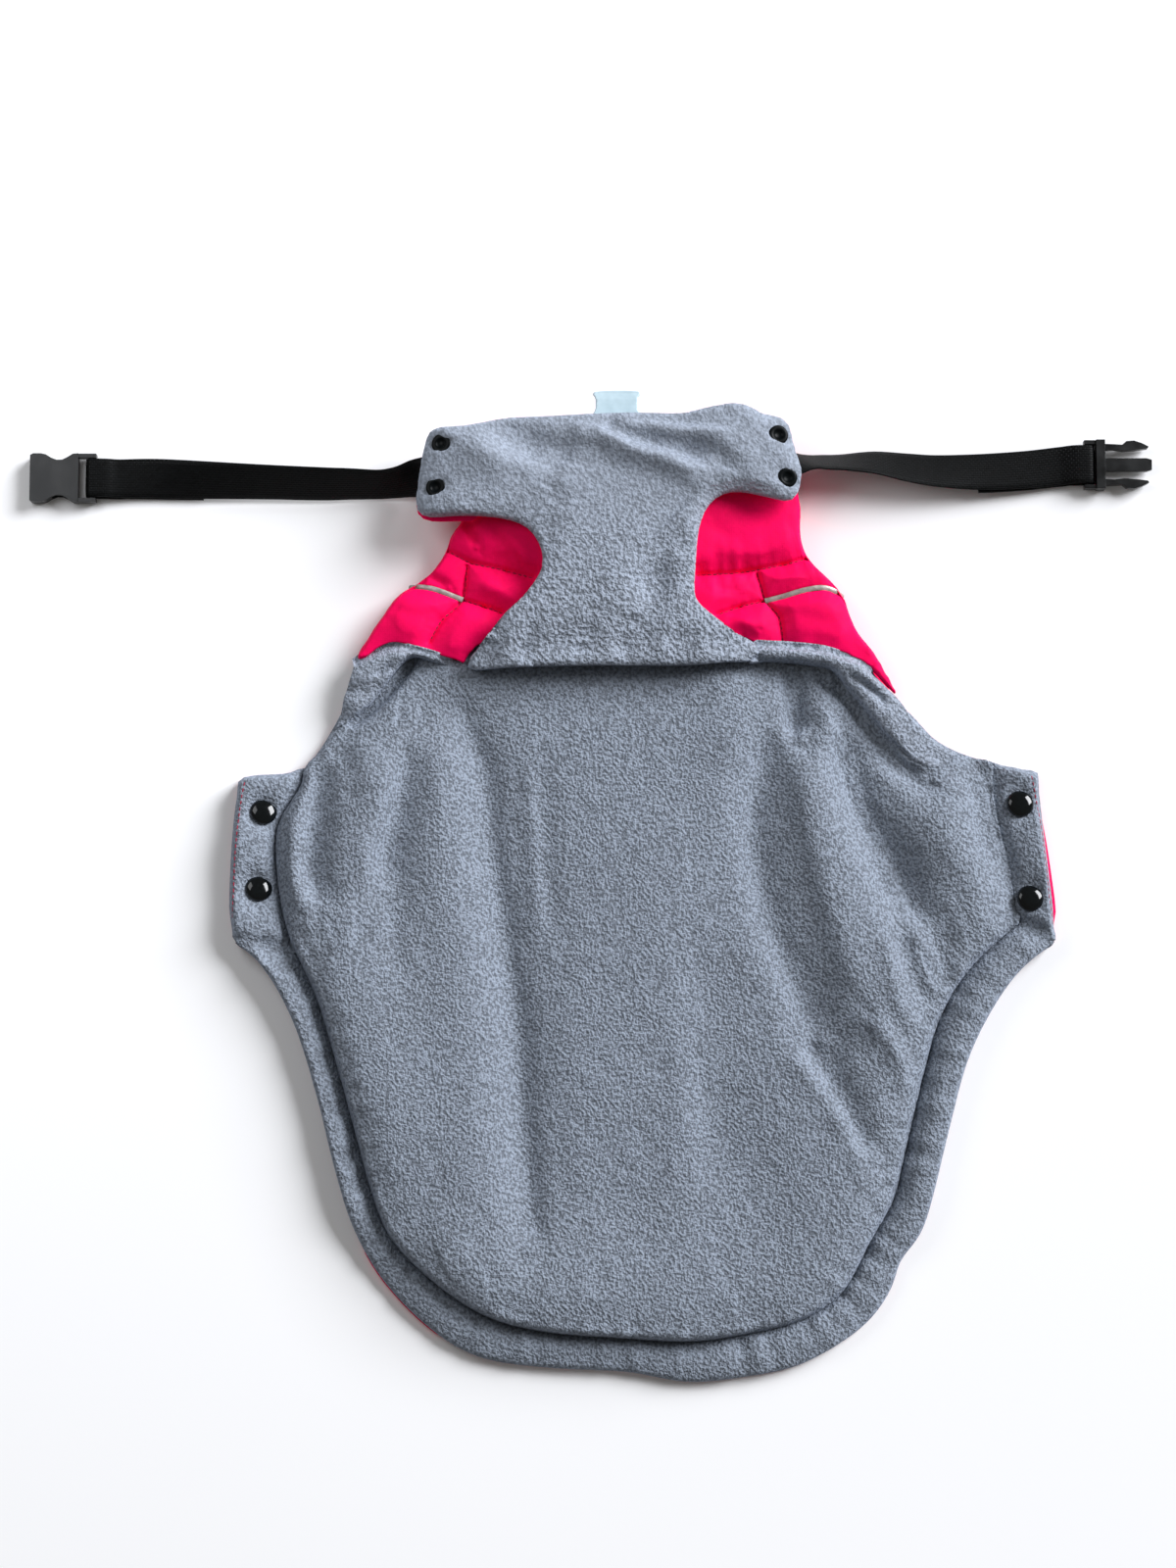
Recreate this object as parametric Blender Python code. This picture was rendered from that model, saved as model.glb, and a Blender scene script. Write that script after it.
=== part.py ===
"""A padded dog winter coat, laid on its back with the fleece side up.

The red shell lies down. On it lie the grey fleece lining, a hem band and two side tabs with
snaps. The neck end is a flattened tube, so a quilted chest panel lies on the back. The belly
flap, a T with a belt sewn under its bar, is folded forward over the chest.
Sizes in the tables are millimetres. X runs across the coat, +Y to the neck, +Z up.
"""
import math

import bmesh
import bpy
import numpy as np
from mathutils import Matrix, Vector, geometry

MM = 0.001
GAP = 0.3                 # clearance at a seam
CENTRE = (0.4, 2.05)      # the tables' point that lies on the part's origin

# Driving dimensions: the stack of cloth, bottom to top.
SHELL = 2.0               # red nylon shell with its backing
LINING_UNDER = SHELL + GAP
YOKE_TOP = 6.8            # fleece and padding pressed flat under the chest panel
BODY_TOP = 13.5           # middle of the padded back
PUFF = 2.6                # what the padding stands up by beside the hem
STRIP_UNDER = YOKE_TOP + 0.5
STRIP_RIM = 9.0           # the chest's rolled fleece edge at its sides
CHEST_LINING_UNDER = 7.3
CHEST_LINING_TOP = 9.8
CHEST_UNDER = 10.2
CHEST_SEAM = 14.0         # height of a quilting seam on the chest
CHEST_PUFF = 5.2          # how far the padding stands above its seams
SKIRT = 9.0               # how far in from the side the chest wraps down to the back
FLAP_UNDER = 21.9
FLAP_SHELL = 1.7
FLAP_LINING_UNDER = 24.2
FLAP_THICK = 4.6
ROLL_REACH = 10.0         # how far the flap's rolled fold is thick
ROLL_UNDER = 8.0

WEB_WIDTH = 20.0          # the belt is standard 20 mm webbing
WEB_THICK = 1.4
BAR_RADIUS = 1.6          # the buckle bar that the webbing turns round
BAR_HEIGHT = 3.95
TURN_RADIUS = BAR_RADIUS + 0.35 + WEB_THICK / 2
TAIL = 58.0               # webbing folded back behind each buckle

BUCKLE_HALF = 12.6        # half the outer width of a 20 mm side-release buckle
BUCKLE_INNER = 10.5
BUCKLE_THICK = 6.6
ARM_HALF = 2.4            # half the height of the arms beside the webbing
BUCKLE_ROOM = 2.3         # half the height of the room inside the socket half
FEMALE_BAR = (-256.2, 210.5)
MALE_BAR = (256.0, 217.5)

CAP_RADIUS = 6.8          # 12.5 mm snaps, with the cap's rolled rim
SOCKET_RADIUS = 5.2

# Lines of the outline, each a list of (x, y).
NECK_LEFT = [(-119.5, 114), (-116, 124), (-105, 141), (-99, 149), (-92, 154), (-85, 158), (-80, 162.5),
             (-74, 173), (-71, 182), (-66, 188), (-64, 210), (-62, 234)]
NECK_TOP = [(-62, 234), (0, 231), (50, 231), (97, 233)]
NECK_RIGHT = [(97, 233), (100.5, 222), (105.5, 209), (108.3, 195), (108, 180), (111, 169), (118, 162),
              (124, 156), (130, 148), (136, 131), (145, 120), (153, 106), (160, 94)]
ARMHOLE_RIGHT = [(160, 94), (169, 84), (178, 75), (194, 67.5), (208, 63), (221, 59), (229, 58)]
TAB_RIGHT = [(229, 58), (232.5, 27), (237, -10), (236.5, -27)]
HEM = [(236.5, -27), (217, -43), (202, -64), (190, -89), (181, -121), (171, -160), (165, -176),
       (155.5, -188), (151, -202), (136, -221), (106, -239), (77, -245.5), (48, -248), (18, -243),
       (-21, -241), (-55, -236), (-80, -222), (-104, -198), (-119, -172), (-129, -141), (-138, -106),
       (-150, -69), (-165, -42), (-181, -27)]
TAB_LEFT = [(-181, -27), (-184.5, -10), (-183, 30), (-180, 56)]
ARMHOLE_LEFT = [(-180, 56), (-170, 58.5), (-156, 59), (-147, 62), (-138, 72), (-126, 94), (-119.5, 114)]

# The elastic channel's seam, from the left tab round the hem to the right tab.
SEAM_TAB_LEFT = [(-145.5, 61), (-147, 52), (-158, 33), (-159.5, 15), (-156, -12), (-150, -31)]
SEAM_HEM = [(-150, -31), (-138, -57), (-128, -89), (-119, -121), (-110, -153), (-99, -178), (-75, -201),
            (-50, -216), (-21, -223), (18, -226), (50, -227.5), (77, -224), (105, -217), (126, -203),
            (140, -178), (152, -157), (158, -133), (166, -101), (176, -67), (192, -41), (218, -17)]
SEAM_TAB_RIGHT = [(218, -17), (214.6, -8), (213, 8), (208, 28), (205, 45), (204.5, 63.5)]

# The edge of the chest, where its shell meets the fleece strip, and the strip's lower edge.
CHEST_LEFT_EDGE = [(-119, 115.5), (-110, 120.5), (-100, 123.7), (-92, 121.5), (-81, 118.6), (-64.6, 112.6)]
CHEST_UNDER_FLAP = [(-64.6, 112.6), (-60.5, 116.3), (-54.6, 122.6), (0, 123), (48, 123.4), (76, 126),
                    (84.4, 123.2)]
CHEST_RIGHT_EDGE = [(84.4, 123.2), (98, 123), (118, 121), (128, 118), (138, 114.5), (147, 106), (159, 94.4)]
STRIP_LEFT_LOW = [(-64.6, 110.3), (-71, 111.8), (-81, 114.5), (-90, 117), (-95, 114), (-101, 107), (-111, 94),
                  (-122, 85), (-131, 80)]
STRIP_RIGHT_LOW = [(186, 67.5), (180, 62), (174, 60), (165, 64), (157, 71), (148, 80), (140, 90), (132, 99),
                   (123, 110), (113, 112.6), (98, 114.3), (84.4, 114.6)]

# The belly flap, a T folded forward: its fold, stem and bar.
FLAP_FOLD = [(-63.4, 110), (-41, 111), (0, 112), (48, 112), (68, 114), (83.6, 115)]
FLAP_STEM_RIGHT = [(83.6, 121.9), (73, 126), (65, 132), (56, 139), (52.5, 146), (53, 162), (54.5, 178),
                   (58, 190), (66, 198), (76, 199.5), (88, 197), (102, 194)]
FLAP_END_RIGHT = [(102, 194), (106, 201), (107, 212), (102.5, 224), (102, 231), (99, 237)]
FLAP_TOP = [(99, 237), (88, 239), (76, 245), (61, 243), (46, 239.5), (19, 240), (-21, 238), (-45, 236.8),
            (-60, 233.5), (-82, 232)]
FLAP_END_LEFT = [(-82, 232), (-86, 215), (-88, 200), (-89, 191)]
FLAP_STEM_LEFT = [(-89, 191), (-84, 187), (-60, 187.2), (-41, 185), (-30, 179.5), (-24.2, 168), (-25, 158),
                  (-33, 147), (-48, 129), (-56, 119), (-63.4, 110)]

# Seams quilted into the chest shell; the piping lies on the two named ones.
PIPING_LEFT = [(-92.5, 153.4), (-80, 151.5), (-65, 146)]
PIPING_RIGHT = [(89, 145.5), (98, 147.6), (110, 151), (120, 152), (129, 148.5)]
CHEST_SEAMS = [
    [(-74, 172), (-61, 165), (-45, 161.5), (-29, 157)],
    [(-63, 163.5), (-65, 146), (-76, 135), (-82, 124)],
    [(-65, 146), (-56, 143), (-44, 139)],
    [(54, 158.5), (75, 160), (98, 164), (112, 168)],
    [(85, 160), (89, 145.5), (96, 137), (98, 124)],
    [(89, 145.5), (78, 143), (64, 138)],
    PIPING_LEFT,
    PIPING_RIGHT,
]

# The largest folds of the back: how far each stands up (or sinks), its half width and its line.
BACK_FOLDS = [
    dict(rise=-3.4, half=12, line=[(-62, 98), (-53, 62), (-45, 22), (-38, -40), (-33, -97), (-33, -160)]),
    dict(rise=-2.2, half=8, line=[(-93, 75), (-95, 50), (-103, 5), (-108, -22)]),
    dict(rise=-2.0, half=5, line=[(-141, 54), (-142, 25), (-141, 0), (-136, -25)]),
    dict(rise=-3.4, half=10, line=[(106, 104), (103, 84), (91, 60), (92, 12), (101, -20), (116, -52),
                                   (128, -95)]),
    dict(rise=-3.6, half=8, line=[(124, 84), (130, 57), (142, 33), (156, 8), (168, -26), (175, -50)]),
    dict(rise=-1.8, half=6, line=[(190, 66), (197, 42), (203, 20), (204, 0)]),
    dict(rise=-2.2, half=9, line=[(108, -74), (120, -102), (135, -138)]),
    dict(rise=2.4, half=9, line=[(112, 70), (122, 30), (134, -6), (146, -40)]),
    dict(rise=1.6, half=9, line=[(-112, 60), (-124, 20), (-124, -20)]),
]
FLAP_FOLDS = [
    dict(rise=3.4, half=6, line=[(-12, 232), (20, 223), (48, 214), (64, 208)]),
    dict(rise=2.6, half=4, line=[(-8, 238), (24, 234), (48, 232), (72, 231)]),
    dict(rise=3.2, half=8, line=[(-64, 229), (-45, 216), (-20, 206)]),
    dict(rise=-1.6, half=6, line=[(-40, 230), (-16, 218), (2, 211)]),
    dict(rise=2.6, half=8, line=[(64, 236), (76, 241), (88, 233)]),
    dict(rise=-1.2, half=7, line=[(28, 160), (36, 145), (42, 128)]),
]

# Each strap from its sewn end to its buckle: place, height and twist about its length in degrees.
BELT_LEFT = [
    dict(x=-40, y=211, z=20.6, twist=0), dict(x=-62, y=211, z=20.5, twist=0),
    dict(x=-74, y=210.5, z=17.4, twist=0), dict(x=-82, y=210, z=14.2, twist=8),
    dict(x=-88, y=209.3, z=11.0, twist=22), dict(x=-94, y=208.3, z=9.6, twist=40),
    dict(x=-101, y=207, z=9.4, twist=50), dict(x=-109, y=206.3, z=9.4, twist=53),
    dict(x=-123, y=206.6, z=9.1, twist=48), dict(x=-139, y=206.8, z=8.7, twist=43),
    dict(x=-172, y=208, z=8.2, twist=37), dict(x=-200, y=209.2, z=6.8, twist=25),
    dict(x=-225, y=210.5, z=4.6, twist=9), dict(x=-242, y=210.5, z=4.2, twist=0),
]
BELT_RIGHT = [
    dict(x=40, y=213, z=20.6, twist=0), dict(x=98, y=216, z=20.4, twist=0),
    dict(x=105, y=216.5, z=19.6, twist=0), dict(x=109, y=217, z=17.6, twist=-20),
    dict(x=113, y=217.3, z=15.0, twist=-42), dict(x=119, y=217.3, z=12.2, twist=-56),
    dict(x=129, y=217.5, z=10.6, twist=-56), dict(x=146, y=217.6, z=9.4, twist=-44),
    dict(x=163, y=215.3, z=8.2, twist=-32), dict(x=178, y=213.8, z=7.0, twist=-24),
    dict(x=200, y=213.6, z=5.6, twist=-12), dict(x=224, y=215, z=4.6, twist=-5),
    dict(x=242, y=217, z=4.2, twist=0),
]

TAB_CAPS = {"snap_cap_left_front": (-166, 38), "snap_cap_left_rear": (-168, -1),
            "snap_cap_right_front": (218, 42), "snap_cap_right_rear": (222.5, -6)}
FLAP_SOCKETS = {"snap_socket_left_front": (-76, 223.5), "snap_socket_left_rear": (-78.5, 201),
                "snap_socket_right_front": (95.5, 228), "snap_socket_right_rear": (100, 206)}

RED = (0.70, 0.004, 0.045)
FLEECE = (0.27, 0.30, 0.34)
BLACK = (0.008, 0.009, 0.010)


def clear_scene():
    for item in list(bpy.data.objects):
        bpy.data.objects.remove(item, do_unlink=True)


def place(x, y, z):
    """A point of the tables, in metres from the part's origin."""
    return Vector(((x - CENTRE[0]) * MM, (y - CENTRE[1]) * MM, z * MM))


def material(name, colour, roughness, metallic=0.0):
    made = bpy.data.materials.new(name)
    made.use_nodes = True
    shader = made.node_tree.nodes["Principled BSDF"]
    shader.inputs["Base Color"].default_value = (*colour, 1.0)
    shader.inputs["Roughness"].default_value = roughness
    shader.inputs["Metallic"].default_value = metallic
    return made


def add_object(name, mesh, paint):
    item = bpy.data.objects.new(name, mesh)
    bpy.context.collection.objects.link(item)
    mesh.materials.append(paint)
    return item


def solid(name, points, faces, paint, smooth=True, centred=True):
    """An object from points in millimetres, with its faces turned outward.

    A centred piece's points are in the tables' coordinates; the others are placed afterwards.
    """
    mesh = bpy.data.meshes.new(name)
    mesh.from_pydata([tuple(float(v) * MM for v in p) for p in points], [], [list(f) for f in faces])
    if centred:
        mesh.transform(Matrix.Translation((-CENTRE[0] * MM, -CENTRE[1] * MM, 0)))
    work = bmesh.new()
    work.from_mesh(mesh)
    bmesh.ops.recalc_face_normals(work, faces=work.faces)
    work.to_mesh(mesh)
    work.free()
    if smooth:
        mesh.shade_smooth()
        mesh.set_sharp_from_angle(angle=math.radians(50))
    return add_object(name, mesh, paint)


# ---- outlines -----------------------------------------------------------------------------

def curve(points, step):
    """A smooth line through the points, cut into even pieces of about one step."""
    p = np.array(points, float)
    ends = np.vstack([2 * p[0] - p[1], p, 2 * p[-1] - p[-2]])
    t = np.linspace(0, 1, 12, endpoint=False)[:, None]
    runs = []
    for a, b, c, d in zip(ends, ends[1:], ends[2:], ends[3:]):
        runs.append(b + 0.5 * t * (c - a + t * (2 * a - 5 * b + 4 * c - d + t * (3 * (b - c) + d - a))))
    fine = np.vstack(runs + [p[-1:]])
    length = np.concatenate([[0], np.cumsum(np.linalg.norm(np.diff(fine[:, :2], axis=0), axis=1))])
    even = np.linspace(0, length[-1], max(2, round(length[-1] / step) + 1))
    return np.column_stack([np.interp(even, length, fine[:, k]) for k in range(fine.shape[1])])


def outline(lines, step):
    """A closed ring of lines that follow each other; each line's last point is the next one's first."""
    return np.vstack([curve(line, step)[:-1] for line in lines])


def reach(points, line, closed=False):
    """The distance of each point from a line."""
    line = np.asarray(line, float)
    if closed:
        line = np.vstack([line, line[:1]])
    best = np.full(len(points), 1e9)
    for a, b in zip(line, line[1:]):
        along = b - a
        t = np.clip((points - a) @ along / max(along @ along, 1e-9), 0, 1)
        best = np.minimum(best, np.linalg.norm(points - a - t[:, None] * along, axis=1))
    return best


def inside(points, ring):
    hit = np.zeros(len(points), bool)
    for (ax, ay), (bx, by) in zip(ring, np.roll(ring, -1, axis=0)):
        crosses = (ay > points[:, 1]) != (by > points[:, 1])
        if ay != by:
            hit ^= crosses & (points[:, 0] < (bx - ax) * (points[:, 1] - ay) / (by - ay) + ax)
    return hit


def shrink(ring, distance):
    """The points of a ring moved inward, without those that would come too near another edge."""
    along = np.roll(ring, -1, axis=0) - np.roll(ring, 1, axis=0)
    normal = np.column_stack([-along[:, 1], along[:, 0]]) / np.linalg.norm(along, axis=1)[:, None]
    turn = np.sum(ring[:, 0] * np.roll(ring[:, 1], -1) - np.roll(ring[:, 0], -1) * ring[:, 1])
    moved = ring + normal * distance * math.copysign(1, turn)
    keep = inside(moved, ring) & (reach(moved, ring, True) > 0.93 * distance)
    return moved[keep]


def thin_out(fixed, extra, spacing):
    """The extra points that stand at least one spacing from the fixed ones and from each other."""
    kept = [tuple(p) for p in fixed]
    chosen = []
    for point in extra:
        if min((point[0] - x) ** 2 + (point[1] - y) ** 2 for x, y in kept) >= spacing ** 2:
            kept.append(tuple(point))
            chosen.append(point)
    return np.array(chosen).reshape(-1, 2)


# ---- panels -------------------------------------------------------------------------------

def roll(distance, radius):
    """A quarter round: 0 at an edge, 1 from one radius in."""
    t = np.clip(np.asarray(distance) / radius, 0, 1)
    return np.sqrt(1 - (1 - t) ** 2)


def soft(distance, width):
    t = np.clip(np.asarray(distance) / width, 0, 1)
    return t * t * (3 - 2 * t)


def folds(points, table):
    """The height that soft folds add, each fading toward its ends."""
    height = np.zeros(len(points))
    for row in table:
        line, half = curve(row["line"], 8), row["half"]
        ends = np.minimum(np.linalg.norm(points - line[0], axis=1), np.linalg.norm(points - line[-1], axis=1))
        height += row["rise"] * np.exp(-(reach(points, line) / half) ** 2) * soft(ends + half, 3 * half)
    return height


def skin(ring, insets, grid, lines=()):
    """Points and triangles that fill a ring: inset rings, the given lines and a staggered grid."""
    spacing = np.mean(np.linalg.norm(ring - np.roll(ring, 1, axis=0), axis=1))
    fill = np.zeros((0, 2))
    for before, distance in zip((0, *insets), insets):
        apart = min(0.6 * spacing, 0.9 * (distance - before))
        fill = np.vstack([fill, thin_out(np.vstack([ring, fill]), shrink(ring, distance), apart)])
    for line in lines:
        even = curve(line, spacing)
        even = even[inside(even, ring)]
        even = even[reach(even, ring, True) > 1.5] if len(even) else even
        fill = np.vstack([fill, thin_out(np.vstack([ring, fill]), even, 0.3 * spacing)])
    if grid:
        low, high = ring.min(axis=0), ring.max(axis=0)
        rows = np.arange(low[1], high[1], grid * 0.866)
        columns = np.arange(low[0], high[0], grid)
        mesh = np.array([(x + grid / 2 * (k % 2), y) for k, y in enumerate(rows) for x in columns])
        mesh = mesh[inside(mesh, ring)]
        mesh = mesh[reach(mesh, ring, True) > (max(insets) if insets else 0) + 0.35 * grid]
        fill = np.vstack([fill, thin_out(np.vstack([ring, fill]), mesh, 0.6 * grid)])
    points = np.vstack([ring, fill])
    found = geometry.delaunay_2d_cdt([Vector(p) for p in points], [], [list(range(len(ring)))], 1, 1e-5)
    assert len(found[0]) == len(points)
    return points, [list(f) for f in found[2]]


def panel(name, ring, top, under, paint, insets, grid, under_insets=(), under_grid=None, lines=()):
    """A closed cloth panel: a top skin and an under skin over one ring, joined round the rim."""
    count = len(ring)
    upper, upper_faces = skin(ring, insets, grid, lines)
    lower, lower_faces = skin(ring, under_insets, under_grid)
    points = np.vstack([np.column_stack([upper, top(upper)]), np.column_stack([lower, under(lower)])])
    shift = len(upper)
    faces = upper_faces + [[shift + k for k in reversed(f)] for f in lower_faces]
    faces += [[k, (k + 1) % count, shift + (k + 1) % count, shift + k] for k in range(count)]
    return solid(name, points, faces, paint)


def level(height):
    return lambda points: np.full(len(points), height)


def band_shape(points, one, other):
    """The round back of a band between two lines: 0 at both, 1 halfway."""
    a = reach(points, one)
    b = reach(points, other)
    t = (a - b) / (a + b + 1e-9)
    return np.sqrt(np.clip(1 - t * t, 0, 1))


def offset_line(line, distance, step=6):
    """A line moved sideways, to its left."""
    even = curve(line, step)
    along = np.gradient(even, axis=0)
    normal = np.column_stack([-along[:, 1], along[:, 0]]) / np.linalg.norm(along, axis=1)[:, None]
    return [tuple(p) for p in even + normal * distance]


# ---- the back -----------------------------------------------------------------------------

def back_shell(paint):
    ring = outline([NECK_LEFT[::-1], ARMHOLE_LEFT[::-1], TAB_LEFT[::-1], HEM[::-1], TAB_RIGHT[::-1],
                    ARMHOLE_RIGHT[::-1], NECK_RIGHT[::-1], NECK_TOP[::-1]], 9)
    turned_edge, lift = 3.5, 1.1
    rim = lambda p: lift * (1 - roll(reach(p, ring, True), turned_edge))
    return panel("back_shell", ring, level(SHELL), rim, paint, (4,), None, (1.2, turned_edge))


def body_ring():
    """The padded body: the channel seam, both armholes and the part hidden under the chest."""
    left = [(-101, 124), (-90, 134), (-74, 148), (-62, 168), (-56, 183), (-52, 205), (-50, 229)]
    right = [(84, 229), (91, 214), (97, 195), (98, 180), (102, 163), (111, 149), (121, 136), (130, 121),
             (137, 113)]
    armhole_left = offset_line(ARMHOLE_LEFT[2:-1] + [(-121, 109)], -1.2)
    armhole_left = [(-145, 62.2)] + armhole_left[1:] + [(-119.6, 112)]
    armhole_right = offset_line(ARMHOLE_RIGHT[:4] + [(205, 64.2)], -1.2)
    lines = [SEAM_TAB_RIGHT[::-1], SEAM_HEM[::-1], SEAM_TAB_LEFT[::-1],
             [(-145.5, 61)] + armhole_left[2:],
             [(-119.6, 112), (-110, 118.6), (-101, 124)], left, [(-50, 229), (84, 229)], right,
             [(137, 113), (146, 105), (157, 93.5)],
             [(157, 93.5)] + armhole_right[1:-2] + [(204.5, 63.5)]]
    return outline(lines, 8.5)


MOUTH = (STRIP_LEFT_LOW[::-1] + FLAP_FOLD[1:-1] + STRIP_RIGHT_LOW[::-1])


def body_top(ring):
    seam = curve(SEAM_TAB_LEFT, 6).tolist() + curve(SEAM_HEM, 6).tolist() + curve(SEAM_TAB_RIGHT, 6).tolist()
    north = np.array([(-145, 70)] + MOUTH + [(192, 61), (206, 60), (206, 300), (-145, 300)])
    line = np.array([(-145, 70)] + MOUTH + [(192, 61), (206, 60)])

    armhole_rim, seam_rim = 4.4, 2.8     # the height of a turned edge, and what the elastic seam adds
    puff_middle, puff_width = 22, 26     # how far in from the seam the padding swells most
    mouth_clear = 1.6                    # how far past the mouth's line the back starts to rise
    mouth_rise, mouth_run = 9.5, 42

    def height(points):
        edge = reach(points, ring, True)
        near_seam = reach(points, seam)
        past = np.where(inside(points, north), 0, np.maximum(reach(points, line) - mouth_clear, 0))
        rim = armhole_rim + seam_rim * np.exp(-(near_seam / 5) ** 2)
        swell = np.exp(-((near_seam - puff_middle) / puff_width) ** 2) * soft(60 - points[:, 1], 120)
        crown = BODY_TOP + PUFF * swell + folds(points, BACK_FOLDS) * soft(edge, 14)
        full = rim + (crown - rim) * roll(edge, 15)
        return np.minimum(full, YOKE_TOP + mouth_rise * soft(past, mouth_run) + 1.6 * roll(past, 5))
    return height


def back_lining(paint):
    ring = body_ring()
    seam = np.vstack([curve(SEAM_TAB_LEFT, 6), curve(SEAM_HEM, 6), curve(SEAM_TAB_RIGHT, 6)])
    under = lambda p: LINING_UNDER + 2.7 * (1 - roll(reach(p, seam), 5))
    return panel("back_lining", ring, body_top(ring), under, paint, (2.5, 7), 11.5, (2, 5), None, [MOUTH])


def hem_band(paint):
    inner = offset_line(SEAM_HEM, -0.5, 8)
    outer = offset_line(HEM, -0.5, 8)
    inner[0] = (-150.6, -31.8)
    inner[-1] = (217.3, -18.4)
    outer[0] = (235.4, -28.2)
    outer[-1] = (-180, -28.2)
    ring = np.vstack([np.array(inner), np.array(outer)])
    top = lambda p: 4.2 + 7.2 * band_shape(p, np.array(inner), np.array(outer))
    return panel("hem_band", ring, top, level(LINING_UNDER), paint, (2, 5), 9)


def side_tab(name, paint, seam, edge, lower, upper):
    """A fleece facing for a tab: its seam, its two short ends and its outer edge."""
    ring = outline([seam, lower, edge, upper], 8)
    top = lambda p: 3.6 + 3.0 * roll(reach(p, ring, True), 4)
    return panel(name, ring, top, level(LINING_UNDER), paint, (1.5, 4), 10)


def tabs(paint):
    left_seam = [(-146.3, 60.6), (-147.8, 51.6), (-158.7, 33), (-160.2, 15), (-156.7, -12), (-150.9, -31)]
    left_edge = [(-179.8, -27.4), (-183.2, -10), (-181.8, 30), (-178.8, 54.9)]
    side_tab("tab_left", paint, left_seam, left_edge, [left_seam[-1], (-165, -28.6), left_edge[0]],
             [left_edge[-1], (-170, 57.3), (-156, 57.9), left_seam[0]])
    right_seam = [(218.6, -17.4), (215.3, -8), (213.7, 8), (208.7, 28), (205.7, 45), (205.2, 62.4)]
    right_edge = [(227.6, 56.8), (230.6, 27), (234.6, -10), (234.6, -27.2)]
    side_tab("tab_right", paint, right_seam[::-1], right_edge[::-1],
             [right_seam[0], (227, -23), right_edge[-1]], [right_edge[0], (218, 58.6), right_seam[-1]])


# ---- the chest ----------------------------------------------------------------------------

def chest_ring(step):
    return outline([NECK_LEFT[::-1][:-1] + [(-119, 115.5)], CHEST_LEFT_EDGE, CHEST_UNDER_FLAP,
                    CHEST_RIGHT_EDGE, [(159, 94.4)] + NECK_RIGHT[::-1][1:], NECK_TOP[::-1]], step)


def chest_top():
    left = curve(NECK_LEFT, 4)
    right = curve(NECK_RIGHT, 4)
    rear = np.vstack([curve(CHEST_LEFT_EDGE, 4), curve(CHEST_UNDER_FLAP, 4), curve(CHEST_RIGHT_EDGE, 4)])
    seams = [curve(line, 4) for line in CHEST_SEAMS]

    def height(points):
        side = np.minimum(reach(points, left), reach(points, right))
        near = np.minimum(side, reach(points, rear))
        for seam in seams:
            near = np.minimum(near, reach(points, seam))
        return 5 + (CHEST_SEAM - 5) * roll(side, SKIRT) + CHEST_PUFF * roll(near, 14)
    return height


def chest_shell(paint):
    left = curve(NECK_LEFT, 4)
    right = curve(NECK_RIGHT, 4)
    foot = LINING_UNDER + 0.2
    wall = 4.5

    def under(points):
        side = np.minimum(reach(points, left), reach(points, right))
        return foot + (CHEST_UNDER - foot) * np.clip((side - wall) / (SKIRT - 5), 0, 1)
    return panel("chest_shell", chest_ring(6), chest_top(), under, paint, (2, 5), 8, (wall, SKIRT - 0.4), 14,
                 CHEST_SEAMS)


def chest_lining(paint):
    ring = outline([[(-46, 226), (-48, 205), (-51, 184), (-57, 168), (-70, 148), (-90, 134), (-99, 125)],
                    [(-99, 125), (-92, 122.4), (-81, 119.4), (-65, 113.6)],
                    [(-65, 113.6), (-55, 123.4), (0, 124), (48, 124.4), (76, 127), (84, 124.2)],
                    [(84, 124.2), (98, 124), (118, 122), (130, 118)],
                    [(130, 118), (121, 134), (111, 149), (101, 163), (97, 180), (95, 195), (89, 212),
                     (80, 226)],
                    [(80, 226), (-46, 226)]], 10)
    return panel("chest_lining", ring, level(CHEST_LINING_TOP), level(CHEST_LINING_UNDER), paint, (3,), None)


def chest_edges(paint):
    """The rolled fleece edge of the chest, which runs on down each armhole."""
    left_outer = [(-131, 80), (-127.8, 90), (-124.2, 99), (-120.6, 110), (-119.4, 114.8)]
    left_upper = [(-119.4, 114.8), (-110.2, 119.9), (-100, 123), (-92, 120.8), (-81, 117.9), (-65, 112)]
    ring = outline([left_upper, [(-65, 112), (-64.6, 110.3)], STRIP_LEFT_LOW, left_outer], 5)
    upper = np.vstack([curve(left_outer, 4), curve(left_upper, 4)])
    lower = curve(STRIP_LEFT_LOW, 4)
    crown = lambda p: 3.5 + 4.0 * soft(p[:, 0] + 118, 30)
    top = lambda p: STRIP_RIM + crown(p) * band_shape(p, lower, upper)
    panel("chest_edge_left", ring, top, level(STRIP_UNDER), paint, (1.6, 4), 6)

    right_outer = [(158.6, 93.4), (168, 83.2), (177.4, 74.2), (186, 69.9)]
    right_upper = [(84.4, 122.6), (98, 122.3), (117.8, 120.3), (127.6, 117.3), (137.5, 113.8), (146.4, 105.4),
                   (158.6, 93.4)]
    ring = outline([right_upper, right_outer, [(186, 69.9), (186, 67.5)], STRIP_RIGHT_LOW,
                    [(84.4, 114.6), (84.4, 122.6)]], 5)
    upper_right = np.vstack([curve(right_upper, 4), curve(right_outer, 4)])
    lower_right = curve(STRIP_RIGHT_LOW, 4)
    crown_right = lambda p: 8.5 - 7.0 * soft(p[:, 0] - 112, 66)
    top_right = lambda p: STRIP_RIM + crown_right(p) * band_shape(p, lower_right, upper_right)
    panel("chest_edge_right", ring, top_right, level(STRIP_UNDER), paint, (1.6, 4), 6)


# ---- the belly flap -----------------------------------------------------------------------

def sag(x):
    """How far the ends of the flap's bar hang down past the chest."""
    left = np.clip(-62 - np.asarray(x, float), 0, None)
    right = np.clip(np.asarray(x, float) - 98, 0, None)
    return -6.0 * (left / 27) ** 2 - 0.9 * (right / 10) ** 2


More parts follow.
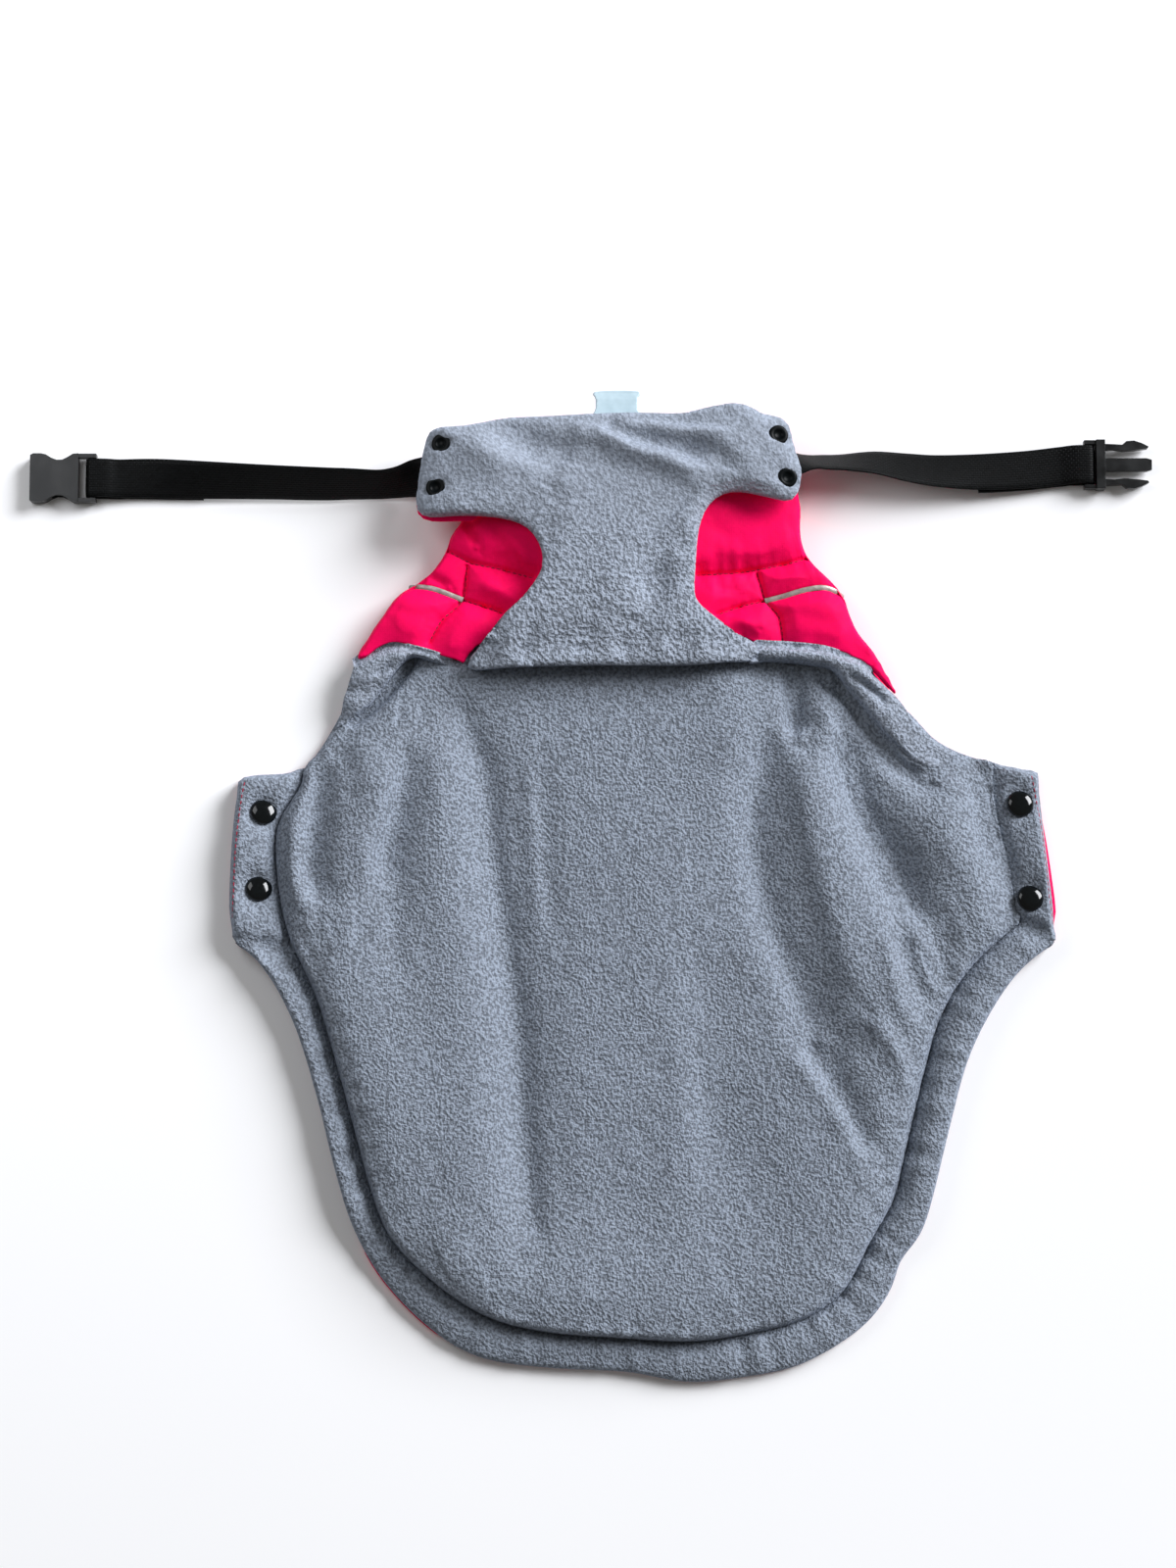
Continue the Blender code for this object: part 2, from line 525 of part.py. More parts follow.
def flap_lining(paint):
    ring = outline([FLAP_FOLD, [(83.6, 115), (83.6, 121.9)], FLAP_STEM_RIGHT, FLAP_END_RIGHT, FLAP_TOP,
                    FLAP_END_LEFT, FLAP_STEM_LEFT], 7)
    fold = curve([(-67, 110)] + FLAP_FOLD[1:-1] + [(86, 115.4)], 5)

    def top(points):
        near_fold = reach(points, fold)
        edge = reach(points, ring, True)
        base = FLAP_LINING_UNDER + 1.5 + (FLAP_THICK - 1.5) * roll(edge, 5) + sag(points[:, 0])
        ends = soft(points[:, 0] + 72, 14) * soft(90 - points[:, 0], 12)
        full = base + (0.6 + folds(points, FLAP_FOLDS)) * ends * soft(edge, 8)
        down = 14 + (FLAP_LINING_UNDER + FLAP_THICK - 14) * roll(near_fold, 13)
        return np.where(near_fold < 13, np.minimum(down, np.maximum(full, down - 0.01)), full)

    def under(points):
        near_fold = reach(points, fold)
        low = ROLL_UNDER + 4 * (1 - roll(near_fold, 3))
        flat = FLAP_LINING_UNDER + sag(points[:, 0])
        slope = low + (flat - low) * np.clip((near_fold - 6) / (ROLL_REACH - 6), 0, 1)
        return np.where(near_fold < 6.2, low, slope)
    return panel("flap_lining", ring, top, under, paint, (2, 5), 8.5, (3, 6, ROLL_REACH), 9,
                 [r["line"] for r in FLAP_FOLDS])


def flap_shell(paint):
    stem_left = [(-90.2, 191), (-84.5, 185.3), (-62, 184.8), (-42, 183.6), (-33, 178), (-26.6, 167),
                 (-28, 158), (-37, 146), (-50.5, 130), (-53, 126)]
    stem_right = [(70, 130), (59, 139), (55, 147), (56, 163), (57.5, 178), (60, 188.5), (67, 196.6),
                  (76, 198), (89, 195.6), (101.3, 193.4)]
    end_right = [(101.3, 193.4), (105, 202), (105.6, 212), (101, 224), (100.6, 231), (98, 234.5)]
    top_edge = [(98, 234.5), (87, 236), (76, 241.5), (61, 239.5), (46, 236.3), (19, 236.8), (-21, 235),
                (-45, 233.8), (-60, 231), (-80.6, 230)]
    end_left = [(-80.6, 230), (-84.8, 215), (-87, 201), (-90.2, 191)]
    mouth = [(-53, 126), (0, 125.5), (48, 125.5), (70, 130)]
    ring = outline([mouth, stem_right, end_right, top_edge, end_left, stem_left], 8)
    top = lambda p: FLAP_UNDER + FLAP_SHELL + sag(p[:, 0])
    under = lambda p: FLAP_UNDER + sag(p[:, 0])
    return panel("flap_shell", ring, top, under, paint, (3,), 10, (3,), 10)


# ---- the belt -----------------------------------------------------------------------------

def strap(name, rows, bar, side, skew, paint):
    """Webbing along its rows, over the buckle's bar, round it and back under itself as a tail."""
    keys = np.array([[r["x"], r["y"], r["z"], r["twist"]] for r in rows], float)
    over = [(bar[0] - side * 8, bar[1], BAR_HEIGHT + TURN_RADIUS - 0.5, 0),
            (bar[0], bar[1], BAR_HEIGHT + TURN_RADIUS, 0)]
    path = curve(np.vstack([keys, over]).tolist(), 7)
    centres = [Vector(p[:3]) for p in path]
    twists = [math.radians(p[3]) for p in path]
    for k in range(1, 8):
        angle = math.pi * k / 8
        centres.append(Vector((bar[0] + side * TURN_RADIUS * math.sin(angle), bar[1],
                               BAR_HEIGHT + TURN_RADIUS * math.cos(angle))))
        twists.append(0.0)
    centres.append(Vector((bar[0], bar[1], BAR_HEIGHT - TURN_RADIUS)))
    twists.append(0.0)
    back = [k for k in range(len(path)) if 8 < abs(bar[0] - path[k][0]) < TAIL]
    for k in reversed(back):
        twist = math.radians(path[k][3])
        normal = Vector((0, -math.sin(twist), math.cos(twist)))
        away = abs(bar[0] - path[k][0])
        across = Vector((0, math.cos(twist), math.sin(twist)))
        lower = max(WEB_THICK + 0.35, 2 * TURN_RADIUS * (1 - (away - 8) / 14))
        centre = Vector(path[k][:3]) - normal * lower + across * skew * min(1, away / TAIL)
        centre.z = max(centre.z, WEB_THICK / 2 + 0.45 + 0.5 * WEB_WIDTH * abs(math.sin(twist)))
        centres.append(centre)
        twists.append(twist)
    points = []
    for k, centre in enumerate(centres):
        along = (centres[min(k + 1, len(centres) - 1)] - centres[max(k - 1, 0)]).normalized()
        across = Vector((0, math.cos(twists[k]), math.sin(twists[k])))
        across = (across - along * across.dot(along)).normalized()
        normal = along.cross(across)
        for u, v in ((-1, -1), (1, -1), (1, 1), (-1, 1)):
            points.append(centre + across * (u * WEB_WIDTH / 2) + normal * (v * WEB_THICK / 2))
    faces = [[3, 2, 1, 0], [len(points) - 4 + k for k in range(4)]]
    for k in range(len(centres) - 1):
        for j in range(4):
            a, b = 4 * k + j, 4 * k + (j + 1) % 4
            faces.append([a, b, b + 4, a + 4])
    return solid(name, points, faces, paint, smooth=False)


def plate(name, shape, low, high, paint=None):
    """A flat outline raised between two heights."""
    count = len(shape)
    points = [(x, y, low) for x, y in shape] + [(x, y, high) for x, y in shape]
    faces = [list(reversed(range(count))), list(range(count, 2 * count))]
    faces += [[k, (k + 1) % count, count + (k + 1) % count, count + k] for k in range(count)]
    return solid(name, points, faces, paint, smooth=False, centred=False)


def rectangle(x0, x1, y0, y1):
    return [(x0, y0), (x1, y0), (x1, y1), (x0, y1)]


def cut_or_join(base, other, operation):
    step = base.modifiers.new(operation.lower(), "BOOLEAN")
    step.operation = operation
    step.solver = "EXACT"
    step.object = other
    bpy.context.view_layer.objects.active = base
    bpy.ops.object.modifier_apply(modifier=step.name)
    bpy.data.objects.remove(other, do_unlink=True)


def bar_rod(paint):
    """The round bar across a buckle's end, along Y through the origin."""
    bpy.ops.mesh.primitive_cylinder_add(vertices=16, radius=BAR_RADIUS * MM,
                                        depth=2 * (BUCKLE_INNER + 1) * MM, rotation=(math.pi / 2, 0, 0))
    rod = bpy.context.object
    bpy.ops.object.transform_apply(rotation=True)
    rod.data.materials.append(paint)
    return rod


def finish_buckle(body, name, bar):
    body.name = name
    body.data.name = name
    edge = body.modifiers.new("edge", "BEVEL")
    edge.width = 0.35 * MM
    edge.segments = 1
    edge.limit_method = "ANGLE"
    edge.angle_limit = math.radians(50)
    body.location = place(bar[0], bar[1], BAR_HEIGHT)
    return body


def buckle_female(paint):
    """The socket half: arms round the webbing, then a hollow body that is open at the waists."""
    half = BUCKLE_THICK / 2
    side = [(-6.9, BUCKLE_HALF), (-9.5, 12.4), (-12.5, 10.6), (-15, 9.3), (-18, 9.2), (-21, 10.4),
            (-23.5, 12.0), (-26, BUCKLE_HALF), (-30, BUCKLE_HALF), (-31.6, 11.8)]
    shape = side + [(x, -y) for x, y in reversed(side)]
    body = plate("body", shape, -half, half, paint)
    room = rectangle(-33, -11.5, -9.2, 9.2)
    windows = rectangle(-20.5, -12.5, -14, 14)
    cut_or_join(body, plate("room", room, -BUCKLE_ROOM, BUCKLE_ROOM), "DIFFERENCE")
    cut_or_join(body, plate("windows", windows, -BUCKLE_ROOM, BUCKLE_ROOM), "DIFFERENCE")
    for sign in (-1, 1):
        across = sorted((sign * BUCKLE_INNER, sign * BUCKLE_HALF))
        arm = plate("arm", rectangle(-8, 2.2, *across), -ARM_HALF, ARM_HALF, paint)
        cut_or_join(body, arm, "UNION")
    cut_or_join(body, bar_rod(paint), "UNION")
    return finish_buckle(body, "buckle_female", FEMALE_BAR)


def buckle_male(paint):
    """The plug half: arms round the webbing, a base block, a tongue and two sprung prongs."""
    body = plate("body", rectangle(3.9, 8.4, -12.8, 12.8), -BUCKLE_THICK / 2, BUCKLE_THICK / 2, paint)
    for sign in (-1, 1):
        across = sorted((sign * BUCKLE_INNER, sign * BUCKLE_HALF))
        arm = plate("arm", rectangle(-2.2, 5, *across), -ARM_HALF, ARM_HALF, paint)
        cut_or_join(body, arm, "UNION")
        prong = [(7, 7.4), (13, 7.9), (18, 7.2), (24, 7.6), (30.4, 8.4), (31, 9.4), (27.5, 11.2),
                 (23.5, 12.5), (19.6, 12.2), (17.4, 10.3), (13, 10.6), (7, 10.8)]
        prong = [(x, sign * y) for x, y in prong]
        cut_or_join(body, plate("prong", prong, -2.0, 2.0, paint), "UNION")
    tongue = [(7, -3.4), (30, -3.4), (32.6, -2.6), (32.6, 2.6), (30, 3.4), (7, 3.4)]
    cut_or_join(body, plate("tongue", tongue, -1.4, 1.4, paint), "UNION")
    cut_or_join(body, bar_rod(paint), "UNION")
    return finish_buckle(body, "buckle_male", MALE_BAR)


# ---- snaps, piping and label --------------------------------------------------------------

def turned(name, profile, spot, tilt, paint, sides=16):
    """A round piece from its (radius, height) profile, standing at a spot."""
    points = [(0, 0, profile[0][1])]
    for radius, height in profile[1:-1]:
        angles = [2 * math.pi * k / sides for k in range(sides)]
        points += [(radius * math.cos(angle), radius * math.sin(angle), height) for angle in angles]
    points.append((0, 0, profile[-1][1]))
    rings = len(profile) - 2
    faces = []
    for k in range(sides):
        after = (k + 1) % sides
        faces.append([0, 1 + k, 1 + after])
        for ring in range(rings - 1):
            a = 1 + ring * sides
            faces.append([a + k, a + sides + k, a + sides + after, a + after])
        last = 1 + (rings - 1) * sides
        faces.append([last + k, len(points) - 1, last + after])
    item = solid(name, points, faces, paint, centred=False)
    item.matrix_world = Matrix.Translation(spot) @ Matrix.Rotation(math.radians(tilt), 4, "Y")
    return item


def snaps(paint):
    cap = [(0, 0), (CAP_RADIUS - 1.2, 0), (CAP_RADIUS, 0.8), (CAP_RADIUS - 0.4, 1.7), (4.6, 2.9), (2.4, 3.5),
           (0, 3.7)]
    for name, (x, y) in TAB_CAPS.items():
        turned(name, cap, place(x, y, 6.9), 0, paint)
    socket = [(0, 0), (SOCKET_RADIUS - 0.6, 0), (SOCKET_RADIUS, 0.7), (SOCKET_RADIUS - 0.5, 1.5), (3.0, 1.9),
              (2.2, 1.0), (0, 0.8)]
    for name, (x, y) in FLAP_SOCKETS.items():
        slope = math.degrees(math.atan((sag(x + 1) - sag(x - 1)) / 2))
        height = FLAP_LINING_UNDER + FLAP_THICK + float(sag(x)) + 0.45
        turned(name, socket, place(x, y, height), -slope, paint)


def piping(paint):
    """Reflective piping laid over two seams of the chest shell."""
    height = chest_top()
    for name, line in (("piping_left", PIPING_LEFT), ("piping_right", PIPING_RIGHT)):
        even = curve(line, 4)[1:]
        if name == "piping_right":
            even = curve(line, 4)[:-1]
        along = np.gradient(even, axis=0)
        normal = np.column_stack([-along[:, 1], along[:, 0]]) / np.linalg.norm(along, axis=1)[:, None]
        points = []
        for p, n in zip(even, normal):
            spots = np.array([p, p + n * 1.3, p - n * 1.3, p + n * 2.2, p - n * 2.2])
            z = height(spots).max() + 0.35
            for u, v in ((-1.2, 0), (1.2, 0), (1.2, 0.9), (-1.2, 0.9)):
                points.append((p[0] + n[0] * u, p[1] + n[1] * u, z + v))
        faces = [[3, 2, 1, 0], [len(points) - 4 + k for k in range(4)]]
        for k in range(len(even) - 1):
            for j in range(4):
                a, b = 4 * k + j, 4 * k + (j + 1) % 4
                faces.append([a, b, b + 4, a + 4])
        solid(name, points, faces, paint, smooth=False)


def care_label(paint):
    """A bare care label caught in the seam at the flap's front edge."""
    rows = [(237.9, 22.3), (243, 22.0), (248, 21.4), (252.0, 20.6)]
    points = []
    for y, z in rows:
        points += [(2.6, y, z), (24.1, y + 0.2, z), (24.1, y + 0.2, z + 0.5), (2.6, y, z + 0.5)]
    faces = [[3, 2, 1, 0], [len(points) - 4 + k for k in range(4)]]
    for k in range(len(rows) - 1):
        for j in range(4):
            a, b = 4 * k + j, 4 * k + (j + 1) % 4
            faces.append([a, b, b + 4, a + 4])
    return solid("care_label", points, faces, paint, smooth=False)


def build():
    clear_scene()
    red = material("red_nylon", RED, 0.55)
    fleece = material("grey_fleece", FLEECE, 0.95)
    webbing = material("black_webbing", BLACK, 0.7)
    plastic = material("black_plastic", BLACK, 0.35)
    gloss = material("black_snap", BLACK, 0.12)
    silver = material("reflective_piping", (0.33, 0.30, 0.28), 0.4)
    white = material("white_label", (0.8, 0.88, 0.92), 0.5)
    back_shell(red)
    back_lining(fleece)
    hem_band(fleece)
    tabs(fleece)
    chest_lining(fleece)
    chest_shell(red)
    chest_edges(fleece)
    flap_shell(red)
    flap_lining(fleece)
    strap("belt_left", BELT_LEFT, FEMALE_BAR, -1, -1.4, webbing)
    strap("belt_right", BELT_RIGHT, MALE_BAR, 1, -1.0, webbing)
    buckle_female(plastic)
    buckle_male(plastic)
    snaps(gloss)
    piping(silver)
    care_label(white)


build()
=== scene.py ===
"""A padded dog winter coat, laid open on its back with the fleece side up."""
import math

import bmesh
import bpy
import numpy as np
from mathutils import Matrix, Vector, geometry, noise
from mathutils.bvhtree import BVHTree


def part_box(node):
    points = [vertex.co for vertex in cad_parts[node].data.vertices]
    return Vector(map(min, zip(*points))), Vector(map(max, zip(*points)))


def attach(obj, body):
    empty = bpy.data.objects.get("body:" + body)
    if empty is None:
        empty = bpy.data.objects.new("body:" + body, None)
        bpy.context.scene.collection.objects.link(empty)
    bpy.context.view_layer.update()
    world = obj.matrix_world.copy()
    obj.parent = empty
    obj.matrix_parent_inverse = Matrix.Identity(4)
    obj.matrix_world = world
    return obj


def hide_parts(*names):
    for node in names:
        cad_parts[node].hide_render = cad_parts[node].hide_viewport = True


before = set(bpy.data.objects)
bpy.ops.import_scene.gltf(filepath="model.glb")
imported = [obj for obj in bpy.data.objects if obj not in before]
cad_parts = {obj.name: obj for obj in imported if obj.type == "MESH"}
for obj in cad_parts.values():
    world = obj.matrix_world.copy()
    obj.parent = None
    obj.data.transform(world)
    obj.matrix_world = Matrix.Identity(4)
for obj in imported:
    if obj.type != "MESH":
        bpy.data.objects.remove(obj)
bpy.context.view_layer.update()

# ---- Floor, light and camera ------------------------------------------------------------------
# A pale, matt studio floor that the coat lies on. One wide soft box stands low beyond the coat's
# right shoulder, so that folds and nap show. A small weak one close by on the left and a dim room
# fill the shadows.
MM = 0.001


def linear(code):
    """The linear colour of an sRGB hex value."""
    parts = [int(code[k:k + 2], 16) / 255 for k in (1, 3, 5)]
    return [p / 12.92 if p <= 0.04045 else ((p + 0.055) / 1.055) ** 2.4 for p in parts]


def add(tree, kind, inputs=None, stops=None, **settings):
    """A shader node with its settings; an input is a value, a socket, or a node for its first output."""
    made = tree.nodes.new("ShaderNode" + kind)
    for name, value in settings.items():
        setattr(made, name, value)
    for key, value in (inputs or {}).items():
        if isinstance(value, bpy.types.Node):
            value = value.outputs[0]
        if isinstance(value, bpy.types.NodeSocket):
            tree.links.new(value, made.inputs[key])
        elif isinstance(value, str):
            made.inputs[key].default_value = (*linear(value), 1.0)
        else:
            made.inputs[key].default_value = value
    if stops:
        while len(made.color_ramp.elements) < len(stops):
            made.color_ramp.elements.new(0.5)
        for element, (place, code) in zip(made.color_ramp.elements, stops):
            element.position = place
            element.color = (*linear(code), 1.0)
    return made


def material(name):
    """An empty node material and its tree."""
    made = bpy.data.materials.new(name)
    made.use_nodes = True
    made.node_tree.nodes.clear()
    return made, made.node_tree


def matt_paper():
    """Matt backdrop paper: a near-white surface with a faint tooth and no gloss."""
    made, tree = material("matt_paper")
    place = add(tree, "TexCoord").outputs["Object"]
    tooth = add(tree, "TexNoise", {"Vector": place, "Scale": 220.0, "Detail": 3.0})
    bump = add(tree, "Bump", {"Height": tooth, "Strength": 0.05, "Distance": 0.2 * MM})
    shader = add(tree, "BsdfPrincipled", {"Base Color": "#FBFBFB", "Roughness": 0.95,
                                          "Specular IOR Level": 0.1, "Normal": bump})
    add(tree, "OutputMaterial", {"Surface": shader})
    return made


bpy.ops.object.select_all(action="DESELECT")
bpy.ops.mesh.primitive_plane_add(size=8)
floor = bpy.context.object
floor.name = "floor"
floor.data.materials.append(matt_paper())


def placed(name, data):
    """An object with this mesh, lamp or lens, put into the scene."""
    made = bpy.data.objects.new(name, data)
    bpy.context.collection.objects.link(made)
    return made


def soft_box(name, bearing, height, distance, size, power, colour):
    """A square lamp that faces the coat; the bearing runs from +X towards +Y."""
    turn, lift = math.radians(bearing), math.radians(height)
    way = Vector((math.cos(turn) * math.cos(lift), math.sin(turn) * math.cos(lift), math.sin(lift)))
    place = way * distance
    lamp = bpy.data.lights.new(name, "AREA")
    lamp.size = size
    lamp.energy = power
    lamp.color = linear(colour)
    holder = placed(name, lamp)
    holder.location = place
    holder.rotation_euler = (-place).to_track_quat("-Z", "Y").to_euler()


soft_box("window", bearing=34, height=27, distance=9.0, size=5.0, power=1600, colour="#F8FAFF")
soft_box("fill", bearing=140, height=42, distance=0.9, size=0.45, power=1.95, colour="#F8FAFF")

room = bpy.data.worlds.new("room")
room.use_nodes = True
room.node_tree.nodes["Background"].inputs["Color"].default_value = (*linear("#FBF8F4"), 1.0)
room.node_tree.nodes["Background"].inputs["Strength"].default_value = 0.165
bpy.context.scene.world = room
bpy.context.scene.view_settings.view_transform = "Standard"

# The camera looks along +Y and steeply down.
CAMERA_TARGET = Vector((-0.00165, 0.05095, 0))
CAMERA_RISE = math.radians(84)
CAMERA_DISTANCE = 1.6
lens = bpy.data.cameras.new("camera")
lens.sensor_width = 36
lens.lens = 72
camera = placed("camera", lens)
camera.location = CAMERA_TARGET + CAMERA_DISTANCE * Vector((0, -math.cos(CAMERA_RISE), math.sin(CAMERA_RISE)))
camera.rotation_euler = (math.pi / 2 - CAMERA_RISE, 0, 0)
bpy.context.scene.camera = camera

# ---- Back shell -------------------------------------------------------------------------------
# The coat's outer cloth, a proofed red nylon with a brushed backing. It is cut in one piece from
# the neck to the hem and lies face down, so that only its turned edges and its underside show.
PATTERN_CENTRE = np.array((0.4, 2.05))      # the point of the cutting pattern on the part's origin


def curve(points, step, closed=False):
    """A smooth line through the points, in even pieces of about one step."""
    p = np.array(points, float)
    ends = np.vstack([p[-1:], p, p[:2]]) if closed else np.vstack([2 * p[0] - p[1], p, 2 * p[-1] - p[-2]])
    t = np.linspace(0, 1, 12, endpoint=False)[:, None]
    runs = []
    for a, b, c, d in zip(ends, ends[1:], ends[2:], ends[3:]):
        runs.append(b + 0.5 * t * (c - a + t * (2 * a - 5 * b + 4 * c - d + t * (3 * (b - c) + d - a))))
    fine = np.vstack(runs + [ends[-2:-1]])
    length = np.concatenate([[0], np.cumsum(np.linalg.norm(np.diff(fine[:, :2], axis=0), axis=1))])
    even = np.linspace(0, length[-1], max(3, round(length[-1] / step) + 1))
    made = np.column_stack([np.interp(even, length, fine[:, k]) for k in range(fine.shape[1])])
    return made[:-1] if closed else made


def reach(points, line, closed=False, keep=None):
    """The distance of each point from a line, or from those pieces of it that are kept."""
    line = np.asarray(line, float)[:, :2]
    if closed:
        line = np.vstack([line, line[:1]])
    best = np.full(len(points), 1e9)
    for k, (a, b) in enumerate(zip(line, line[1:])):
        if keep is not None and not keep[k]:
            continue
        along = b - a
        away = points[:, :2] - a
        t = np.clip(away @ along / max(along @ along, 1e-9), 0, 1)
        best = np.minimum(best, np.hypot(*(away - t[:, None] * along).T))
    return best


def inside(points, ring):
    """Which points lie inside a ring."""
    hit = np.zeros(len(points), bool)
    for (ax, ay), (bx, by) in zip(ring, np.roll(ring, -1, axis=0)):
        if ay != by:
            crosses = (ay > points[:, 1]) != (by > points[:, 1])
            hit ^= crosses & (points[:, 0] < (bx - ax) * (points[:, 1] - ay) / (by - ay) + ax)
    return hit


def beyond(points, ring):
    """How far each point lies outside a ring; less than zero inside it."""
    return reach(points, ring, True) * np.where(inside(points, ring), -1, 1)


def soft(distance, width):
    """A smooth step: 0 at and before zero, 1 from one width on."""
    t = np.clip(np.asarray(distance, float) / width, 0, 1)
    return t * t * (3 - 2 * t)


def bell(distance, width):
    """A bell: 1 at zero, dying away on both sides."""
    return np.exp(-(distance / width) ** 2)


def quarter_round(distance, radius):
    """A quarter round: 0 at and before zero, upright there, and level at 1 from one radius on."""
    return np.sqrt(1 - (1 - np.clip(distance / radius, 0, 1)) ** 2)


def merged(node):
    """A solid's mesh with its loose triangles joined."""
    work = bmesh.new()
    work.from_mesh(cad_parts[node].data)
    bmesh.ops.remove_doubles(work, verts=work.verts, dist=0.01 * MM)
    work.normal_update()
    return work


def outline_of(node):
    """A panel's outline in pattern millimetres, walked along the lower edge of its upright wall."""
    work = merged(node)
    beside = {}
    for edge in work.edges:
        tilts = sorted(face.normal.z for face in edge.link_faces)
        if len(tilts) == 2 and tilts[0] < -0.05 and abs(tilts[1]) < 0.05:
            a, b = edge.verts
            beside.setdefault(a, []).append(b)
            beside.setdefault(b, []).append(a)
    start = min(beside, key=lambda v: (v.co.y, v.co.x))
    walk = [start]
    while len(walk) < len(beside):
        following = [v for v in beside[walk[-1]] if len(walk) < 2 or v is not walk[-2]]
        if following[0] is start:
            break
        walk.append(following[0])
    ring = np.array([v.co[:2] for v in walk]) / MM + PATTERN_CENTRE
    work.free()
    return ring


def spots(piece):
    """A piece's points in pattern millimetres."""
    co = np.zeros(3 * len(piece.data.vertices))
    piece.data.vertices.foreach_get("co", co)
    co = co.reshape(-1, 3) / MM
    co[:, :2] += PATTERN_CENTRE
    return co


def place_spots(piece, co):
    """Puts a piece's points where these pattern millimetres say."""
    co = co.copy()
    co[:, :2] -= PATTERN_CENTRE
    piece.data.vertices.foreach_set("co", (co * MM).ravel())
    piece.data.update()


def heights(node, points, down=True):
    """The height of a solid's upper or lower side above each point."""
    work = merged(node)
    tree = BVHTree.FromBMesh(work)
    low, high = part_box(node)
    start, way = (high.z + 5 * MM, -1) if down else (low.z - 5 * MM, 1)
    rim = high.z if down else low.z
    found = np.zeros(len(points))
    for k, (x, y) in enumerate((points[:, :2] - PATTERN_CENTRE) * MM):
        spot = tree.ray_cast((x, y, start), (0, 0, way))[0]
        found[k] = (spot or tree.find_nearest((x, y, rim))[0]).z / MM
    work.free()
    return found


def relaxed(piece, z, upper, weight, rounds):
    """Heights evened out between neighbours on the same side, by each point's weight."""
    ends = np.zeros(2 * len(piece.data.edges), int)
    piece.data.edges.foreach_get("vertices", ends)
    ends = ends.reshape(-1, 2)
    a, b = ends[upper[ends[:, 0]] == upper[ends[:, 1]]].T
    count = np.bincount(np.concatenate([a, b]), minlength=len(z))
    for _ in range(rounds):
        near = np.bincount(a, z[b], len(z)) + np.bincount(b, z[a], len(z))
        z = z + weight * (near / count - z)
    return z


def normals_of(piece):
    """The direction in which each point faces."""
    normals = np.zeros(3 * len(piece.data.vertices))
    piece.data.vertices.foreach_get("normal", normals)
    return normals.reshape(-1, 3)


def outward(piece):
    """The level direction in which each point on a flat panel's rim faces."""
    level = normals_of(piece) * (1, 1, 0)
    return level / np.maximum(np.linalg.norm(level, axis=1), 1e-6)[:, None]


ON_RIM = 0.3            # a point so near a panel's outline is on its rim
BESIDE = 1.8            # an outline so near a neighbour's runs beside it


